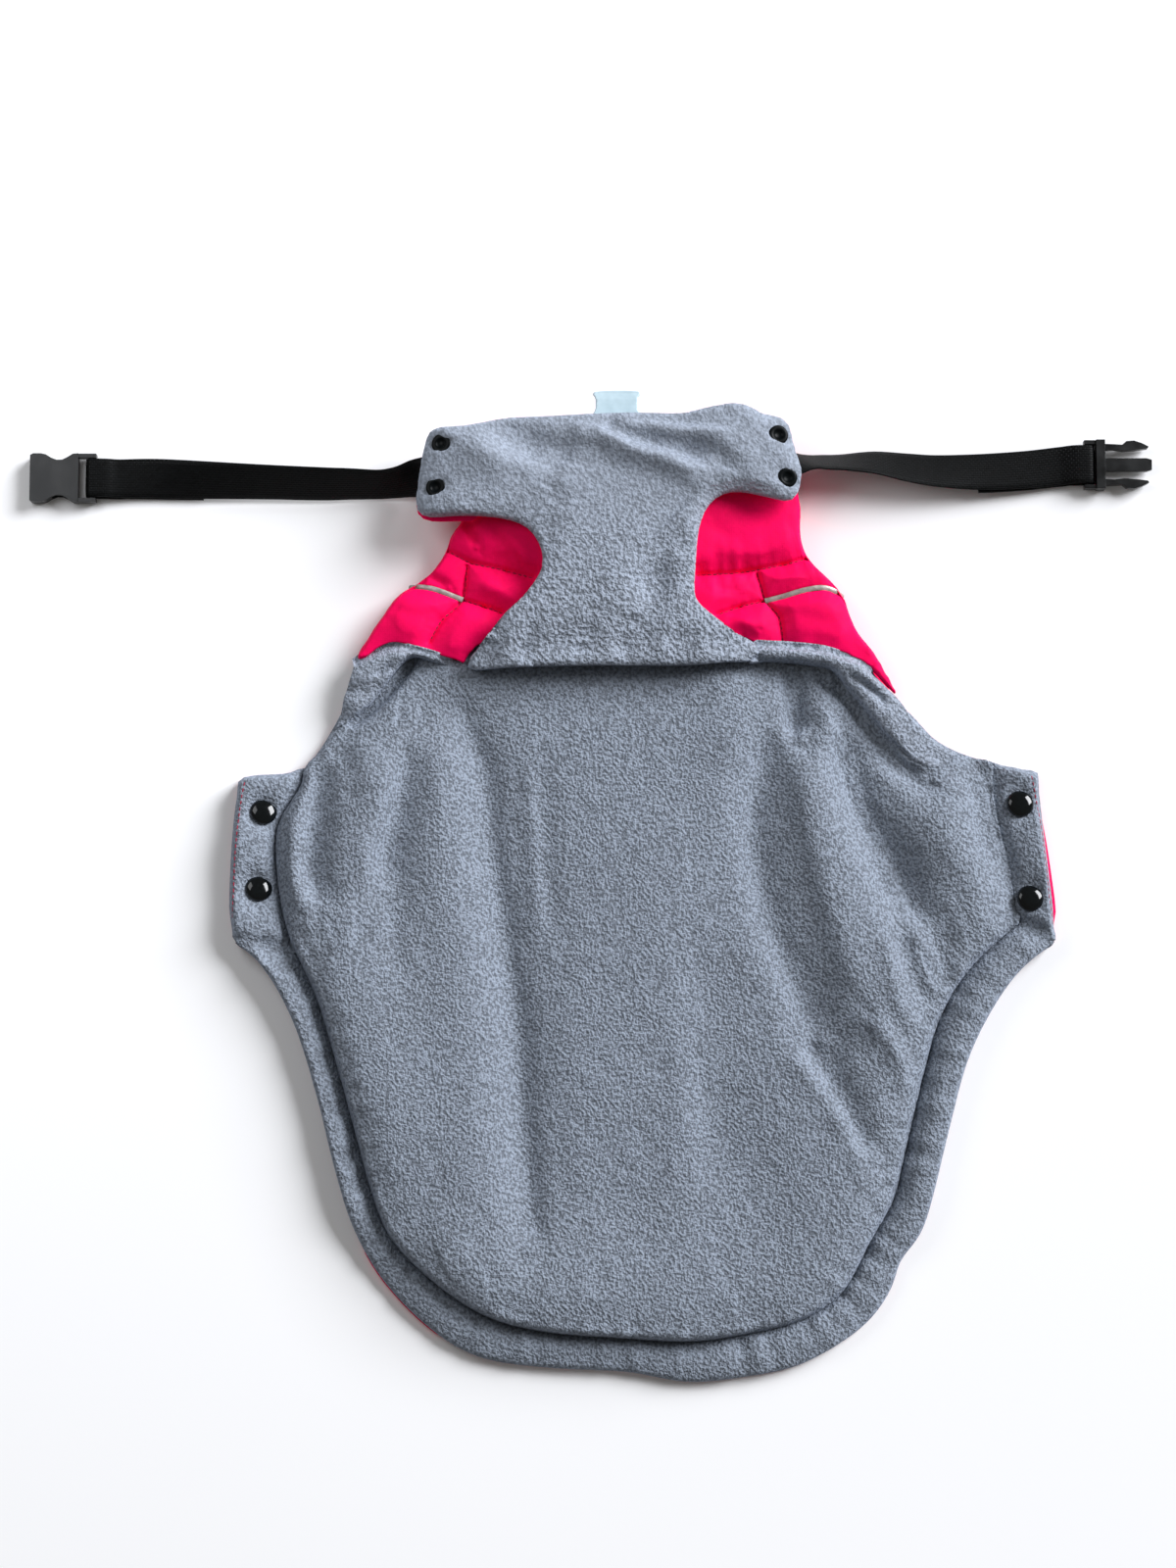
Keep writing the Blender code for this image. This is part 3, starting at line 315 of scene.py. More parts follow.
def cloth(node, finish, step, cuts=0, rounds=0, hold=6.0, roll=0.0, eased=0, tucked=()):
    """A closed cloth panel on its solid's form, with a fine upper side and a coarse lower one.

    The upper side is evened out over the rounds, less so within the hold distance of its edge, and
    rolls down to that edge over the roll distance. Where the panel is tucked beside a neighbour it
    runs on under it by so much, which may change along the ring, and doesn't roll.
    """
    name = f"{node}_{finish}"
    ring = curve(outline_of(node), step, closed=True)
    for _ in range(eased):
        ring = 0.5 * ring + 0.25 * (np.roll(ring, 1, axis=0) + np.roll(ring, -1, axis=0))
    along = np.roll(ring, -1, axis=0) - np.roll(ring, 1, axis=0)
    spin = np.sign(np.sum(ring[:, 0] * np.roll(ring[:, 1], -1) - ring[:, 1] * np.roll(ring[:, 0], -1)))
    aside = spin * np.column_stack([along[:, 1], -along[:, 0]]) / np.linalg.norm(along, axis=1)[:, None]
    free = np.ones(len(ring), bool)
    longer = np.zeros(len(ring))
    for neighbour, amount in tucked:
        beside = reach(ring, outline_of(neighbour), True) < BESIDE
        free &= ~beside
        longer += beside * (amount(ring) if callable(amount) else amount)
    ring = ring + aside * longer[:, None]
    low, high = ring.min(axis=0), ring.max(axis=0)
    rows = np.arange(low[1], high[1], step * 0.866)
    columns = np.arange(low[0], high[0], step)
    grid = np.array([(x + step / 2 * (k % 2), y) for k, y in enumerate(rows) for x in columns])
    grid = grid[inside(grid, ring)]
    flat = np.vstack([ring, grid[reach(grid, ring, True) > 0.6 * step]])
    faces = geometry.delaunay_2d_cdt([Vector(p) for p in flat], [], [list(range(len(ring)))], 1, 1e-6)[2]
    count, shift = len(ring), len(flat)
    points = [(x, y, 1) for x, y in flat] + [(x, y, 0) for x, y in flat]
    faces = [list(f) for f in faces] + [[shift + k for k in reversed(f)] for f in faces]
    faces += [[k, shift + k, shift + (k + 1) % count, (k + 1) % count] for k in range(count)]
    mesh = bpy.data.meshes.new(name)
    mesh.from_pydata(points, [], faces)
    work = bmesh.new()
    work.from_mesh(mesh)
    if cuts:
        upper = [e for e in work.edges if all(v.co.z > 0.5 for v in e.verts)]
        bmesh.ops.subdivide_edges(work, edges=upper, cuts=cuts, use_grid_fill=True)
    bmesh.ops.recalc_face_normals(work, faces=work.faces)
    work.to_mesh(mesh)
    work.free()
    mesh.transform(Matrix.Diagonal((MM, MM, 1, 1)) @ Matrix.Translation((*-PATTERN_CENTRE, 0)))
    piece = placed(name, mesh)
    co = spots(piece)
    upper = co[:, 2] > 0.5 / MM
    edge = reach(co, ring, True)
    probe = co - 0.8 * (edge < ON_RIM)[:, None] * outward(piece)
    co[upper, 2] = heights(node, probe[upper])
    co[~upper, 2] = heights(node, probe[~upper], down=False)
    if rounds:
        weight = np.where(upper, 0.08 + 0.85 * soft(edge - 1, hold), 0)
        co[:, 2] = relaxed(piece, co[:, 2], upper, weight, rounds)
    if roll:
        open_edge = reach(co, ring, True, keep=free & np.roll(free, -1))
        near = upper & (open_edge < roll)
        base = heights(node, probe[near], down=False)
        share = 0.2 + 0.8 * quarter_round(open_edge[near], roll)
        co[near, 2] = base + share * (co[near, 2] - base)
    place_spots(piece, co)
    mesh.shade_smooth()
    return piece, upper, edge


def finished(piece, paint, node=None, body="coat"):
    """Gives a piece its material and its body, and hides the node that it stands for."""
    piece.data.materials.append(paint)
    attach(piece, body)
    if node:
        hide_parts(node)
    return piece


ONE_BAND = 0.314        # a wave texture's scale that gives one band for each metre


def proofed_nylon(name, body, shade):
    """Proofed nylon taslan: plain woven of air-textured yarn, so matt with a soft bright bloom.

    The yarns stand 0.3 mm apart, drawn here at 0.9 mm, which is the finest that shows.
    """
    made, tree = material(name)
    place = add(tree, "TexCoord").outputs["Object"]
    warp, weft = (add(tree, "TexWave", {"Vector": place, "Scale": ONE_BAND / (0.9 * MM), "Distortion": 1.2,
                                        "Detail": 1.0, "Detail Scale": 2.0}, bands_direction=way)
                  for way in ("X", "Y"))
    yarns = add(tree, "Math", {0: warp.outputs[1], 1: weft.outputs[1]}, operation="MAXIMUM")
    slubs = add(tree, "TexNoise", {"Vector": place, "Scale": 1 / (2.2 * MM), "Detail": 3.0,
                                   "Roughness": 0.6})
    fade = add(tree, "TexNoise", {"Vector": place, "Scale": 1 / (38 * MM), "Detail": 2.0})
    tone = add(tree, "Math", {0: slubs, 1: 0.45, 2: 0.0}, operation="MULTIPLY_ADD")
    tone = add(tree, "Math", {0: fade, 1: 0.55, 2: tone}, operation="MULTIPLY_ADD")
    colour = add(tree, "ValToRGB", {0: tone}, stops=[(0.32, shade), (0.66, body)])
    height = add(tree, "Math", {0: yarns, 1: 0.35, 2: slubs}, operation="MULTIPLY_ADD")
    bump = add(tree, "Bump", {"Height": height, "Strength": 0.35, "Distance": 0.25 * MM})
    shader = add(tree, "BsdfPrincipled", {
        "Base Color": colour, "Roughness": 0.66, "Specular IOR Level": 0.06, "Sheen Weight": 0.12,
        "Sheen Roughness": 0.4, "Sheen Tint": "#FF1A50", "Normal": bump})
    add(tree, "OutputMaterial", {"Surface": shader})
    return made


def drawn_in(piece, edge, amount):
    """Moves a panel's outer edge in by its own amount at each point."""
    place_spots(piece, spots(piece) - outward(piece) * (amount * (edge < ON_RIM))[:, None])


SHELL_INSET = 2.6       # the shell's edge stays back by so much, but for a stretch of hem and a tab
HEM_STRETCH = [(-116, -186), (-104, -206), (-82, -224)]
TAB_SHARE = 0.62
red_nylon = proofed_nylon("red_proofed_nylon", body="#FF045C", shade="#EC0550")
back_shell, _, edge = cloth("back_shell", "nylon", step=6)
co = spots(back_shell)
hem_shows = soft(10 - reach(co, HEM_STRETCH), 6)
tab_shows = TAB_SHARE * soft(co[:, 0] - 222, 4) * soft(co[:, 1] + 22, 10) * soft(52 - co[:, 1], 34)
drawn_in(back_shell, edge, SHELL_INSET * (1 - np.maximum(hem_shows, tab_shows)))
finished(back_shell, red_nylon, "back_shell")

# ---- Back lining ------------------------------------------------------------------------------
# The padded lining of the back: grey anti-pill fleece over wadding, drawn up by the hem's elastic,
# so that long soft folds run down it and its edge swells over the channel's seam.


def anti_pill_fleece(name, shaded_pits, pile, tips, nub, relief, calm=1.0):
    """Polyester fleece, knitted, brushed and tumbled: its pile rolls into small tight nubs.

    The nubs run a little longer along the knit than across it. Their colour follows their height, as
    painted light and shade: pale on the tips and dark in the gaps between them. The tips bloom blue at
    grazing angles. The nubs are about a millimetre wide and are drawn half as wide again, so that they
    show. The pile calms down to a share of its relief towards the coat's front.
    """
    made, tree = material(name)
    place = add(tree, "TexCoord").outputs["Object"]
    knit = add(tree, "Mapping", {"Vector": place, "Scale": (1.0, 0.9, 1.0)})
    nubs = add(tree, "TexNoise", {"Vector": knit, "Scale": 1 / (nub * MM), "Detail": 1.0, "Roughness": 0.5})
    rounded = add(tree, "MapRange", {0: nubs, 1: 0.2, 2: 0.8, 3: 0.0, 4: 1.0},
                  interpolation_type="SMOOTHSTEP")
    fibres = add(tree, "TexNoise", {"Vector": knit, "Scale": 1 / (0.9 * MM), "Detail": 2.0,
                                    "Roughness": 0.6})
    mats = add(tree, "TexNoise", {"Vector": place, "Scale": 1 / (14 * MM), "Detail": 3.0, "Roughness": 0.55})
    toned = add(tree, "Math", {0: fibres, 1: 0.4, 2: rounded}, operation="MULTIPLY_ADD")
    toned = add(tree, "Math", {0: mats, 1: 0.2, 2: toned}, operation="MULTIPLY_ADD")
    forward = add(tree, "SeparateXYZ", {0: place})
    brushed = add(tree, "MapRange", {0: forward.outputs[1], 1: 0.15, 2: 0.2, 3: 1.0, 4: calm})
    toned = add(tree, "Math", {0: toned, 1: -0.75}, operation="ADD")
    toned = add(tree, "Math", {0: toned, 1: brushed, 2: 0.75}, operation="MULTIPLY_ADD")
    # The ramp paints shade into the gaps between the nubs and light on their tips.
    colour = add(tree, "ValToRGB", {0: toned}, stops=[(0.35, shaded_pits), (0.7, pile), (1.0, tips)])
    height = add(tree, "Math", {0: fibres, 1: 0.4, 2: rounded}, operation="MULTIPLY_ADD")
    height = add(tree, "Math", {0: height, 1: brushed}, operation="MULTIPLY")
    bump = add(tree, "Bump", {"Height": height, "Strength": 1.0, "Distance": relief * MM})
    shader = add(tree, "BsdfPrincipled", {
        "Base Color": colour, "Roughness": 0.95, "Specular IOR Level": 0.1, "Sheen Weight": 0.25,
        "Sheen Roughness": 0.5, "Sheen Tint": "#C4D4F2", "Normal": bump})
    add(tree, "OutputMaterial", {"Surface": shader})
    return made


def creases(points, rows):
    """The height that soft folds add.

    Each row holds a fold's line, drawn from the neck to the hem, its rise, and how far it spreads to
    the left and to the right of the line. A fold fades towards its ends.
    """
    height = np.zeros(len(points))
    for line, rise, left, right in rows:
        run = curve(line, 5)
        far = 3 * max(left, right)
        low, high = run.min(axis=0) - far, run.max(axis=0) + far
        near = np.flatnonzero(((points[:, :2] > low) & (points[:, :2] < high)).all(axis=1))
        spot = points[near, :2]
        best = np.full(len(near), 1e9)
        spread = np.full(len(near), float(left))
        for a, b in zip(run, run[1:]):
            along, away = b - a, spot - a
            t = np.clip(away @ along / (along @ along), 0, 1)
            gap = np.hypot(*(away - t[:, None] * along).T)
            to_right = along[0] * away[:, 1] - along[1] * away[:, 0] > 0
            spread = np.where(gap < best, np.where(to_right, right, left), spread)
            best = np.minimum(best, gap)
        ends = np.minimum(np.hypot(*(spot - run[0]).T), np.hypot(*(spot - run[-1]).T))
        middling = (left + right) / 2
        fade = soft(ends + 0.5 * middling, 2.5 * middling)
        height[near] += rise * bell(best, spread) * fade
    return height


CURL_SIZE = 1.9         # millimetres
LUMP_SIZE = 8


def nap(piece, upper, edge, curl=0.22, lump=0.35, seed=0.0):
    """Lets the pile stand off the cloth: small curls, and lumps where it has matted."""
    co = spots(piece)
    tall = np.array([curl * noise.noise(Vector((x / CURL_SIZE, y / CURL_SIZE, z / CURL_SIZE + seed)))
                     + lump * noise.noise(Vector((x / LUMP_SIZE, y / LUMP_SIZE, seed))) for x, y, z in co])
    place_spots(piece, co + normals_of(piece) * (tall * np.where(upper, soft(edge, 4), 0))[:, None])


def puckers(points, line, height, length, every, seed, closed=False):
    """Small gathers that stand square to a seam and die away from it."""
    run = curve(line, 1.5, closed)
    nearest = np.zeros(len(points), int)
    best = np.full(len(points), 1e9)
    for k, spot in enumerate(run):
        away = np.hypot(points[:, 0] - spot[0], points[:, 1] - spot[1])
        nearest = np.where(away < best, k, nearest)
        best = np.minimum(best, away)
    waves = np.array([noise.noise(Vector((1.5 * k / every, seed, 0))) for k in range(len(run))])
    return height * waves[nearest] * np.exp(-best / length) * soft(best, 1.5)


BACK_CREASES = [
    ([(-70, 101), (-65, 86), (-55, 61), (-52, 37), (-50, 12), (-45, -13), (-41, -43), (-37, -73),
     (-35, -113), (-32, -148), (-28, -183)], -3.2, 9, 7),
    ([(-86, 94), (-81, 61), (-77, 37), (-75, 12), (-70, -13), (-65, -43), (-61, -73), (-58, -113),
     (-55, -148), (-53, -178)], 3.6, 22, 15),
    ([(-27, 64), (-24, 27), (-22, 2), (-19, -28)], -1.0, 4, 7),
    ([(-32, 64), (-29, 27), (-28, 2), (-25, -26)], 0.8, 5, 4),
    ([(-90, 75), (-96, 43), (-102, 17), (-103, -4)], -3.6, 5, 12),
    ([(-101, 75), (-107, 44), (-114, 17), (-117, -6)], 4.6, 20, 6),
    ([(-96, -11), (-98, -28), (-97, -48)], -1.1, 5, 6),
    ([(-135, 67), (-138, 47), (-140, 27), (-140, 7), (-134, -13)], -4.6, 5, 10),
    ([(-147, 66), (-150, 37), (-151, 7), (-145, -16)], 3.2, 5, 6),
    ([(-127, 72), (-121, 56), (-123, 39)], -1.4, 4, 6),
    ([(-114, 21), (-126, 3), (-135, -11), (-138, -31)], -1.4, 7, 6),
    ([(51, -13), (54, -48), (57, -88), (60, -123), (61, -163)], -2.2, 11, 26),
    ([(28, 71), (31, 27), (33, -13), (34, -48), (38, -88)], 2.4, 40, 30),
    ([(95, 80), (88, 66), (83, 47), (82, 27), (86, 2), (93, -26), (105, -53), (117, -79)],
     -4.4, 8, 10),
    ([(107, 69), (109, 52), (112, 27), (121, -8), (130, -41), (137, -63)], 3.8, 9, 14),
    ([(74, 99), (72, 76), (72, 52)], 1.8, 14, 10),
    ([(121, 90), (125, 74), (131, 52), (139, 29), (148, 9), (157, -11), (163, -26)], -6.5, 8, 24),
    ([(-136, 40), (-130, -18), (-119, -70), (-104, -120), (-84, -165)], 2.2, 14, 46),
    ([(124, 79), (129, 60), (136, 39), (144, 25), (153, 13), (159, -1), (164, -13), (174, -24)],
     -2.6, 3, 9),
    ([(170, 52), (177, 32), (181, 12), (185, -6)], 3.6, 20, 14),
    ([(143, 73), (153, 61), (165, 53)], -1.2, 4, 5),
    ([(191, 66), (195, 52), (199, 27), (205, 7)], -1.8, 4, 4),
    ([(155, -24), (160, -40), (171, -64)], -2.0, 4, 5),
    ([(147, -22), (154, -56), (165, -74)], 1.7, 5, 4),
    ([(164, -20), (174, -46)], 1.2, 5, 5),
    ([(169, -18), (178, -38), (183, -51)], -1.6, 5, 6),
    ([(140, -64), (154, -85), (160, -108)], 2.2, 5, 5),
    ([(104, -73), (126, -105), (142, -138)], -2.8, 5, 8),
    ([(99, -81), (120, -112), (139, -143)], 1.2, 6, 4),
    ([(58, -80), (66, -130), (70, -180)], -2.0, 14, 34),
    ([(44, -66), (47, -105), (47, -140)], 1.2, 8, 10),
    ([(19, -138), (21, -163), (24, -193)], -1.2, 16, 16),
    ([(-21, -43), (-18, -78), (-15, -113)], 0.8, 8, 20),
    ([(-100, -68), (-90, -113), (-76, -153)], 0.8, 22, 22),
]
# Deep pockets where the back runs in under the chest's rolled edge.
MOUTH_POCKETS = [
    ([(-90, 118), (-95, 109), (-103, 99), (-112, 90), (-121, 84)], -8.6, 1.5, 2.1),
    ([(123, 107), (132, 98), (140, 85), (149, 73), (158, 62), (170, 55)], -5.4, 6, 3),
    ([(103, 113), (103, 99), (104, 86), (107, 74)], -7.5, 5, 7),
    ([(117, 95), (121, 81), (125, 64)], 2.0, 4, 5),
]

EDGE_SWELL = 6.0        # the padding's rise beside the hem band, which dies away from it
MOUTH_SWELL = 5.0       # and its rise under the chest's mouth
BAND_TUCK = 3.0         # how deep the seams to the band and to the right tab draw it down
TAB_TUCK = 4.4
LEAST_LINING = 1.5      # its least thickness
# The same fleece as it lies flat; a lighter copy of it, painted light, for the strips rolled over an
# edge; and a copy brushed up on the flap, with larger nubs and lighter colours partly painted light.
grey_fleece = anti_pill_fleece("grey_anti_pill_fleece",
                               shaded_pits="#666C75", pile="#79808A", tips="#8E97A4", nub=1.45, relief=0.62)
painted_light_fleece = anti_pill_fleece("grey_anti_pill_fleece_painted_light",
                                 shaded_pits="#70767F", pile="#868D98", tips="#9BA4B2", nub=1.45, relief=0.55)
raised_painted_light_fleece = anti_pill_fleece("grey_anti_pill_fleece_raised_painted_light", shaded_pits="#6D737C", pile="#868D98",
                                 tips="#9CA5B3", nub=1.75, relief=0.78, calm=0.45)
back_lining, upper, edge = cloth("back_lining", "fleece", step=5.2, cuts=3, rounds=60, roll=4,
                                 tucked=[("tab_right", 0)])
back_ring = outline_of("back_lining")
band_ring = outline_of("hem_band")
co = spots(back_lining)
floor_side = heights("back_lining", co, down=False)
to_band = reach(co, band_ring, True)
gathered = soft(26 - to_band, 12)
shown = np.where(upper, soft(edge - 1.5, 7), 0) * soft(co[:, 2] - 7.5, 3)
swell = EDGE_SWELL * soft(to_band, 2.2) * np.exp(-to_band / 10.5) * soft(130 - co[:, 0], 90)
swell += MOUTH_SWELL * bell(co[:, 1] - 108, 12) * soft(90 - np.abs(co[:, 0]), 25) * soft(edge - 1, 4)
to_tab = reach(co, outline_of("tab_right"), True)
tuck = BAND_TUCK * bell(to_band, 1.5) + TAB_TUCK * bell(to_tab, 13)
gathers = gathered * puckers(co, back_ring, height=1.8, length=9, every=7, seed=1.7, closed=True)
pockets = creases(co, MOUTH_POCKETS) * soft(edge - 0.5, 3)
co[:, 2] += np.where(upper, creases(co, BACK_CREASES) * shown + swell - tuck + gathers + pockets, 0)
co[:, 2] = np.where(upper, np.maximum(co[:, 2], floor_side + LEAST_LINING), co[:, 2])
place_spots(back_lining, co)
nap(back_lining, upper, edge)
finished(back_lining, grey_fleece, "back_lining")

# ---- Hem band and side tabs -------------------------------------------------------------------
# The hem band is a strip of the same fleece turned over the elastic, from one tab round to the
# other. The two tabs are faced with fleece and carry the snaps.
LEAST_HEIGHT = 1.2      # the fleece stays at least so high over the floor
BAND_FOOT = 1.4         # the height that the band swells from at its seam
SIDE_RISE = (6, 2.5)    # how far the band's sides turn up, and how much less they do on the right
# Its height beside each tab, and its rise outwards.
BAND_AT_TAB = (("left", 6.0, 5.5), ("right", 7.6, 5.0))
BAND_TUCKS = [("back_lining", 3),
              ("tab_left", lambda ring: 3 * soft(ring[:, 0] + 180, 6)),
              ("tab_right", lambda ring: 3 * soft(235 - ring[:, 0], 6))]
hem_band, upper, edge = cloth("hem_band", "fleece", step=4.4, cuts=3, rounds=30, hold=4, roll=0.8, eased=1,
                              tucked=BAND_TUCKS)
co = spots(hem_band)
outside = beyond(co, back_ring)
at_hem = soft(-150 - co[:, 1], 50)
swelling = quarter_round(outside, 9 - 5 * at_hem) * (1 - 0.35 * at_hem)
band_height = BAND_FOOT + (co[:, 2] - BAND_FOOT) * (0.1 + 0.9 * swelling) + puckers(
    co, back_ring, height=2.2, length=14, every=8, seed=8.1, closed=True)
side_rise = (SIDE_RISE[0] - SIDE_RISE[1] * soft(co[:, 0], 20)) * soft(np.abs(co[:, 0]) - 60, 50)
band_height += side_rise * (1 - at_hem) * soft(outside - 2, 18)
for side, level, rise in BAND_AT_TAB:
    from_tab = beyond(co, outline_of("tab_" + side))
    band_height = np.minimum(band_height, level + rise * soft(outside - 4, 22) + 0.3 * np.abs(from_tab))
co[:, 2] = np.where(upper, np.maximum(band_height, LEAST_HEIGHT), co[:, 2])
place_spots(hem_band, co)
nap(hem_band, upper, edge, seed=3.1)
band_top = spots(hem_band)[upper & (edge > 1)]
finished(hem_band, grey_fleece, "hem_band")


def surface_tree(piece):
    """A finished piece's surface, for laying others on it."""
    return BVHTree.FromObject(piece, bpy.context.evaluated_depsgraph_get())


def laid_on(tree, points, lift):
    """Pattern points dropped on a surface and lifted by some millimetres."""
    made = []
    for x, y in points:
        spot = tree.ray_cast(((x - PATTERN_CENTRE[0]) * MM, (y - PATTERN_CENTRE[1]) * MM, 0.2), (0, 0, -1))[0]
        made.append((x, y, (spot.z if spot else 0) / MM + lift))
    return np.array(made)


def tube_faces(sides, stations, first=0):
    """The faces of a closed tube through its stations, each a ring of points, and of both its ends."""
    last = first + sides * (stations - 1)
    walls = [[ring + j, ring + (j + 1) % sides, ring + sides + (j + 1) % sides, ring + sides + j]
             for ring in range(first, last, sides) for j in range(sides)]
    return walls + [[ring + j for j in range(sides)] for ring in (first, last)]


def joined_up(name, points, faces):
    """A smooth closed piece from points in pattern millimetres."""
    mesh = bpy.data.meshes.new(name)
    mesh.from_pydata([(x - PATTERN_CENTRE[0], y - PATTERN_CENTRE[1], z) for x, y, z in points], [], faces)
    mesh.transform(Matrix.Scale(MM, 4))
    work = bmesh.new()
    work.from_mesh(mesh)
    bmesh.ops.recalc_face_normals(work, faces=work.faces)
    work.to_mesh(mesh)
    work.free()
    mesh.shade_smooth()
    return placed(name, mesh)


def stitched(name, tree, lines, paint, pitch=3.2, thread=0.55):
    """Rows of lock stitches on a surface: each is a short round bar of thread that dives in at its ends."""
    points, faces = [], []
    ring = [(math.cos(math.radians(60 * k)), math.sin(math.radians(60 * k))) for k in range(6)]
    dive = (0.9, 0.15, 0.0, 0.15, 0.9)      # how deep a stitch lies along its length, in thread widths
    for line in lines:
        run = laid_on(tree, curve(line, pitch / 5), 0.1)
        for start in range(0, len(run) - 5, 5):
            bar = run[start:start + 5]
            along = (bar[-1] - bar[0]) / max(np.linalg.norm(bar[-1] - bar[0]), 1e-6)
            side = np.array((-along[1], along[0], 0.0))
            faces += tube_faces(len(ring), len(bar), len(points))
            for place, sink in zip(bar, dive):
                middle = place - np.array((0, 0, sink * thread))
                points += [middle + thread / 2 * (side * u + np.array((0, 0, v))) for u, v in ring]
    return finished(joined_up(name, points, faces), paint)


def spun_thread(name, body, shade):
    """Spun polyester sewing thread: matt, twisted of fine plies, a little fuzzy."""
    made, tree = material(name)
    place = add(tree, "TexCoord").outputs["Object"]
    plies = add(tree, "TexNoise", {"Vector": place, "Scale": 1 / (0.4 * MM), "Detail": 2.0})
    colour = add(tree, "ValToRGB", {0: plies}, stops=[(0.35, shade), (0.65, body)])
    bump = add(tree, "Bump", {"Height": plies, "Strength": 0.5, "Distance": 0.15 * MM})
    shader = add(tree, "BsdfPrincipled", {"Base Color": colour, "Roughness": 0.7,
                                          "Specular IOR Level": 0.2, "Sheen Weight": 0.2,
                                          "Normal": bump})
    add(tree, "OutputMaterial", {"Surface": shader})
    return made


def middle_of(node):
    """The middle of a solid's box."""
    return sum(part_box(node), Vector()) / 2


red_thread = spun_thread("red_spun_polyester", body="#B01038", shade="#7C0826")
TAB_SEAM = {
    "left": [(-175.2, 53.0), (-177.2, 41.5), (-178.7, 26.6), (-179.7, 11.7), (-180.2, -3.3), (-180.7, -18.2)],
    "right": [(223.8, 56.5), (225.2, 49.0), (227.7, 34.1), (229.7, 16.6), (231.7, -3.3), (233.7, -22.2)],
}
# Each tab's cut in metres, the X of the corner where it leaves the band, and how far its outer and
# its inner edge turn up.
TABS = [
    ("left", (0.036, 0.098), -180, 8.5, 1.0),
    ("right", (0.032, 0.1), 235, 8.5, -1.5),
]
SEAM_GROOVE = 0.8
CAP_DIMPLE = 9          # how wide the fleece dimples round a cap
BAND_JOIN = 7           # over so much a tab comes level with the band
for side, cut, corner, outer_rise, inner_rise in TABS:
    tab, upper, edge = cloth("tab_" + side, "fleece", step=4.0, cuts=3, rounds=20, hold=4, roll=2.5,
                             tucked=[("back_lining", 3),
                                     ("hem_band", lambda ring: 2.5 * soft(abs(corner - ring[:, 0]), 6))])
    co = spots(tab)
    outer, inner = (co[:, 0].min(), co[:, 0].max()) if side == "left" else (co[:, 0].max(), co[:, 0].min())
    inward = (co[:, 0] - outer) / (inner - outer)
    curl_up = outer_rise * (1 - inward) + inner_rise * inward
    seam = reach(co, TAB_SEAM[side])
    groove = -SEAM_GROOVE * bell(seam, 1.2)
    outside = beyond(co, back_ring)
    if side == "left":
        swelling = quarter_round(outside, 8)
    else:
        swelling = 1 - 0.25 * bell(np.maximum(outside, 0), 3) - 0.3 * soft(-outside, 2)
        co[:, 1] += 2.0 * soft(co[:, 1] - 47, 10) * soft(co[:, 0] - 203, 14)
    dimple = np.zeros(len(co))
    for end in ("front", "rear"):
        x, y, _ = middle_of(f"snap_cap_{side}_{end}")
        away = np.hypot(co[:, 0] - PATTERN_CENTRE[0] - x / MM, co[:, 1] - PATTERN_CENTRE[1] - y / MM)
        dimple += (curl_up + 0.5) * bell(away, CAP_DIMPLE)
    loft = co[:, 2] + curl_up * soft(edge, 3) + groove - dimple - LEAST_HEIGHT
    tab_height = LEAST_HEIGHT + loft * (0.15 + 0.85 * swelling)
    from_hem = beyond(co, band_ring)
    near = np.flatnonzero(upper & (from_hem < BAND_JOIN))
    nearest = [np.argmin(np.hypot(*(band_top[:, :2] - spot).T)) for spot in co[near, :2]]
    flush = band_top[nearest, 2] - 0.4 + 0.6 * soft(from_hem[near] + 2.2, 2)
    tab_height[near] += soft(BAND_JOIN - from_hem[near], BAND_JOIN) * (flush - tab_height[near])
    co[:, 2] = np.where(upper, np.maximum(tab_height, LEAST_HEIGHT), co[:, 2])
    place_spots(tab, co)
    nap(tab, upper, edge, curl=0.15, lump=0.25, seed=5.7)
    finished(tab, grey_fleece, "tab_" + side)
    stitched(f"tab_{side}_stitching", surface_tree(tab), [TAB_SEAM[side]], red_thread)

# ---- Snap caps on the tabs --------------------------------------------------------------------
# Four acetal press snaps, 13.6 mm wide: a glossy black cap with a rolled rim, pressed through the
# tab so that its fleece dimples round it. One cap is turned and copied to each place.


def glossy_acetal(name, dulled=0.0):
    """Injection-moulded acetal, polished by its mould: near black with a sharp, slightly blue gloss.

    The sockets' rings are dulled, which adds to their roughness.
    """
    made, tree = material(name)
    place = add(tree, "TexCoord").outputs["Object"]
    wear = add(tree, "TexNoise", {"Vector": place, "Scale": 1 / (1.8 * MM), "Detail": 5.0, "Roughness": 0.7})
    rough = add(tree, "MapRange", {0: wear, 1: 0.35, 2: 0.75, 3: 0.05 + dulled, 4: 0.16 + dulled})
    colour = add(tree, "ValToRGB", {0: wear}, stops=[(0.3, "#030506"), (0.8, "#090E10")])
    bump = add(tree, "Bump", {"Height": wear, "Strength": 0.06, "Distance": 0.2 * MM})
    shader = add(tree, "BsdfPrincipled", {"Base Color": colour, "Roughness": rough,
                                          "IOR": 1.42, "Specular IOR Level": 0.12 if dulled else 0.5,
                                          "Coat Weight": 0.0 if dulled else 0.15, "Coat Roughness": 0.03,
                                          "Normal": bump})
    add(tree, "OutputMaterial", {"Surface": shader})
    return made


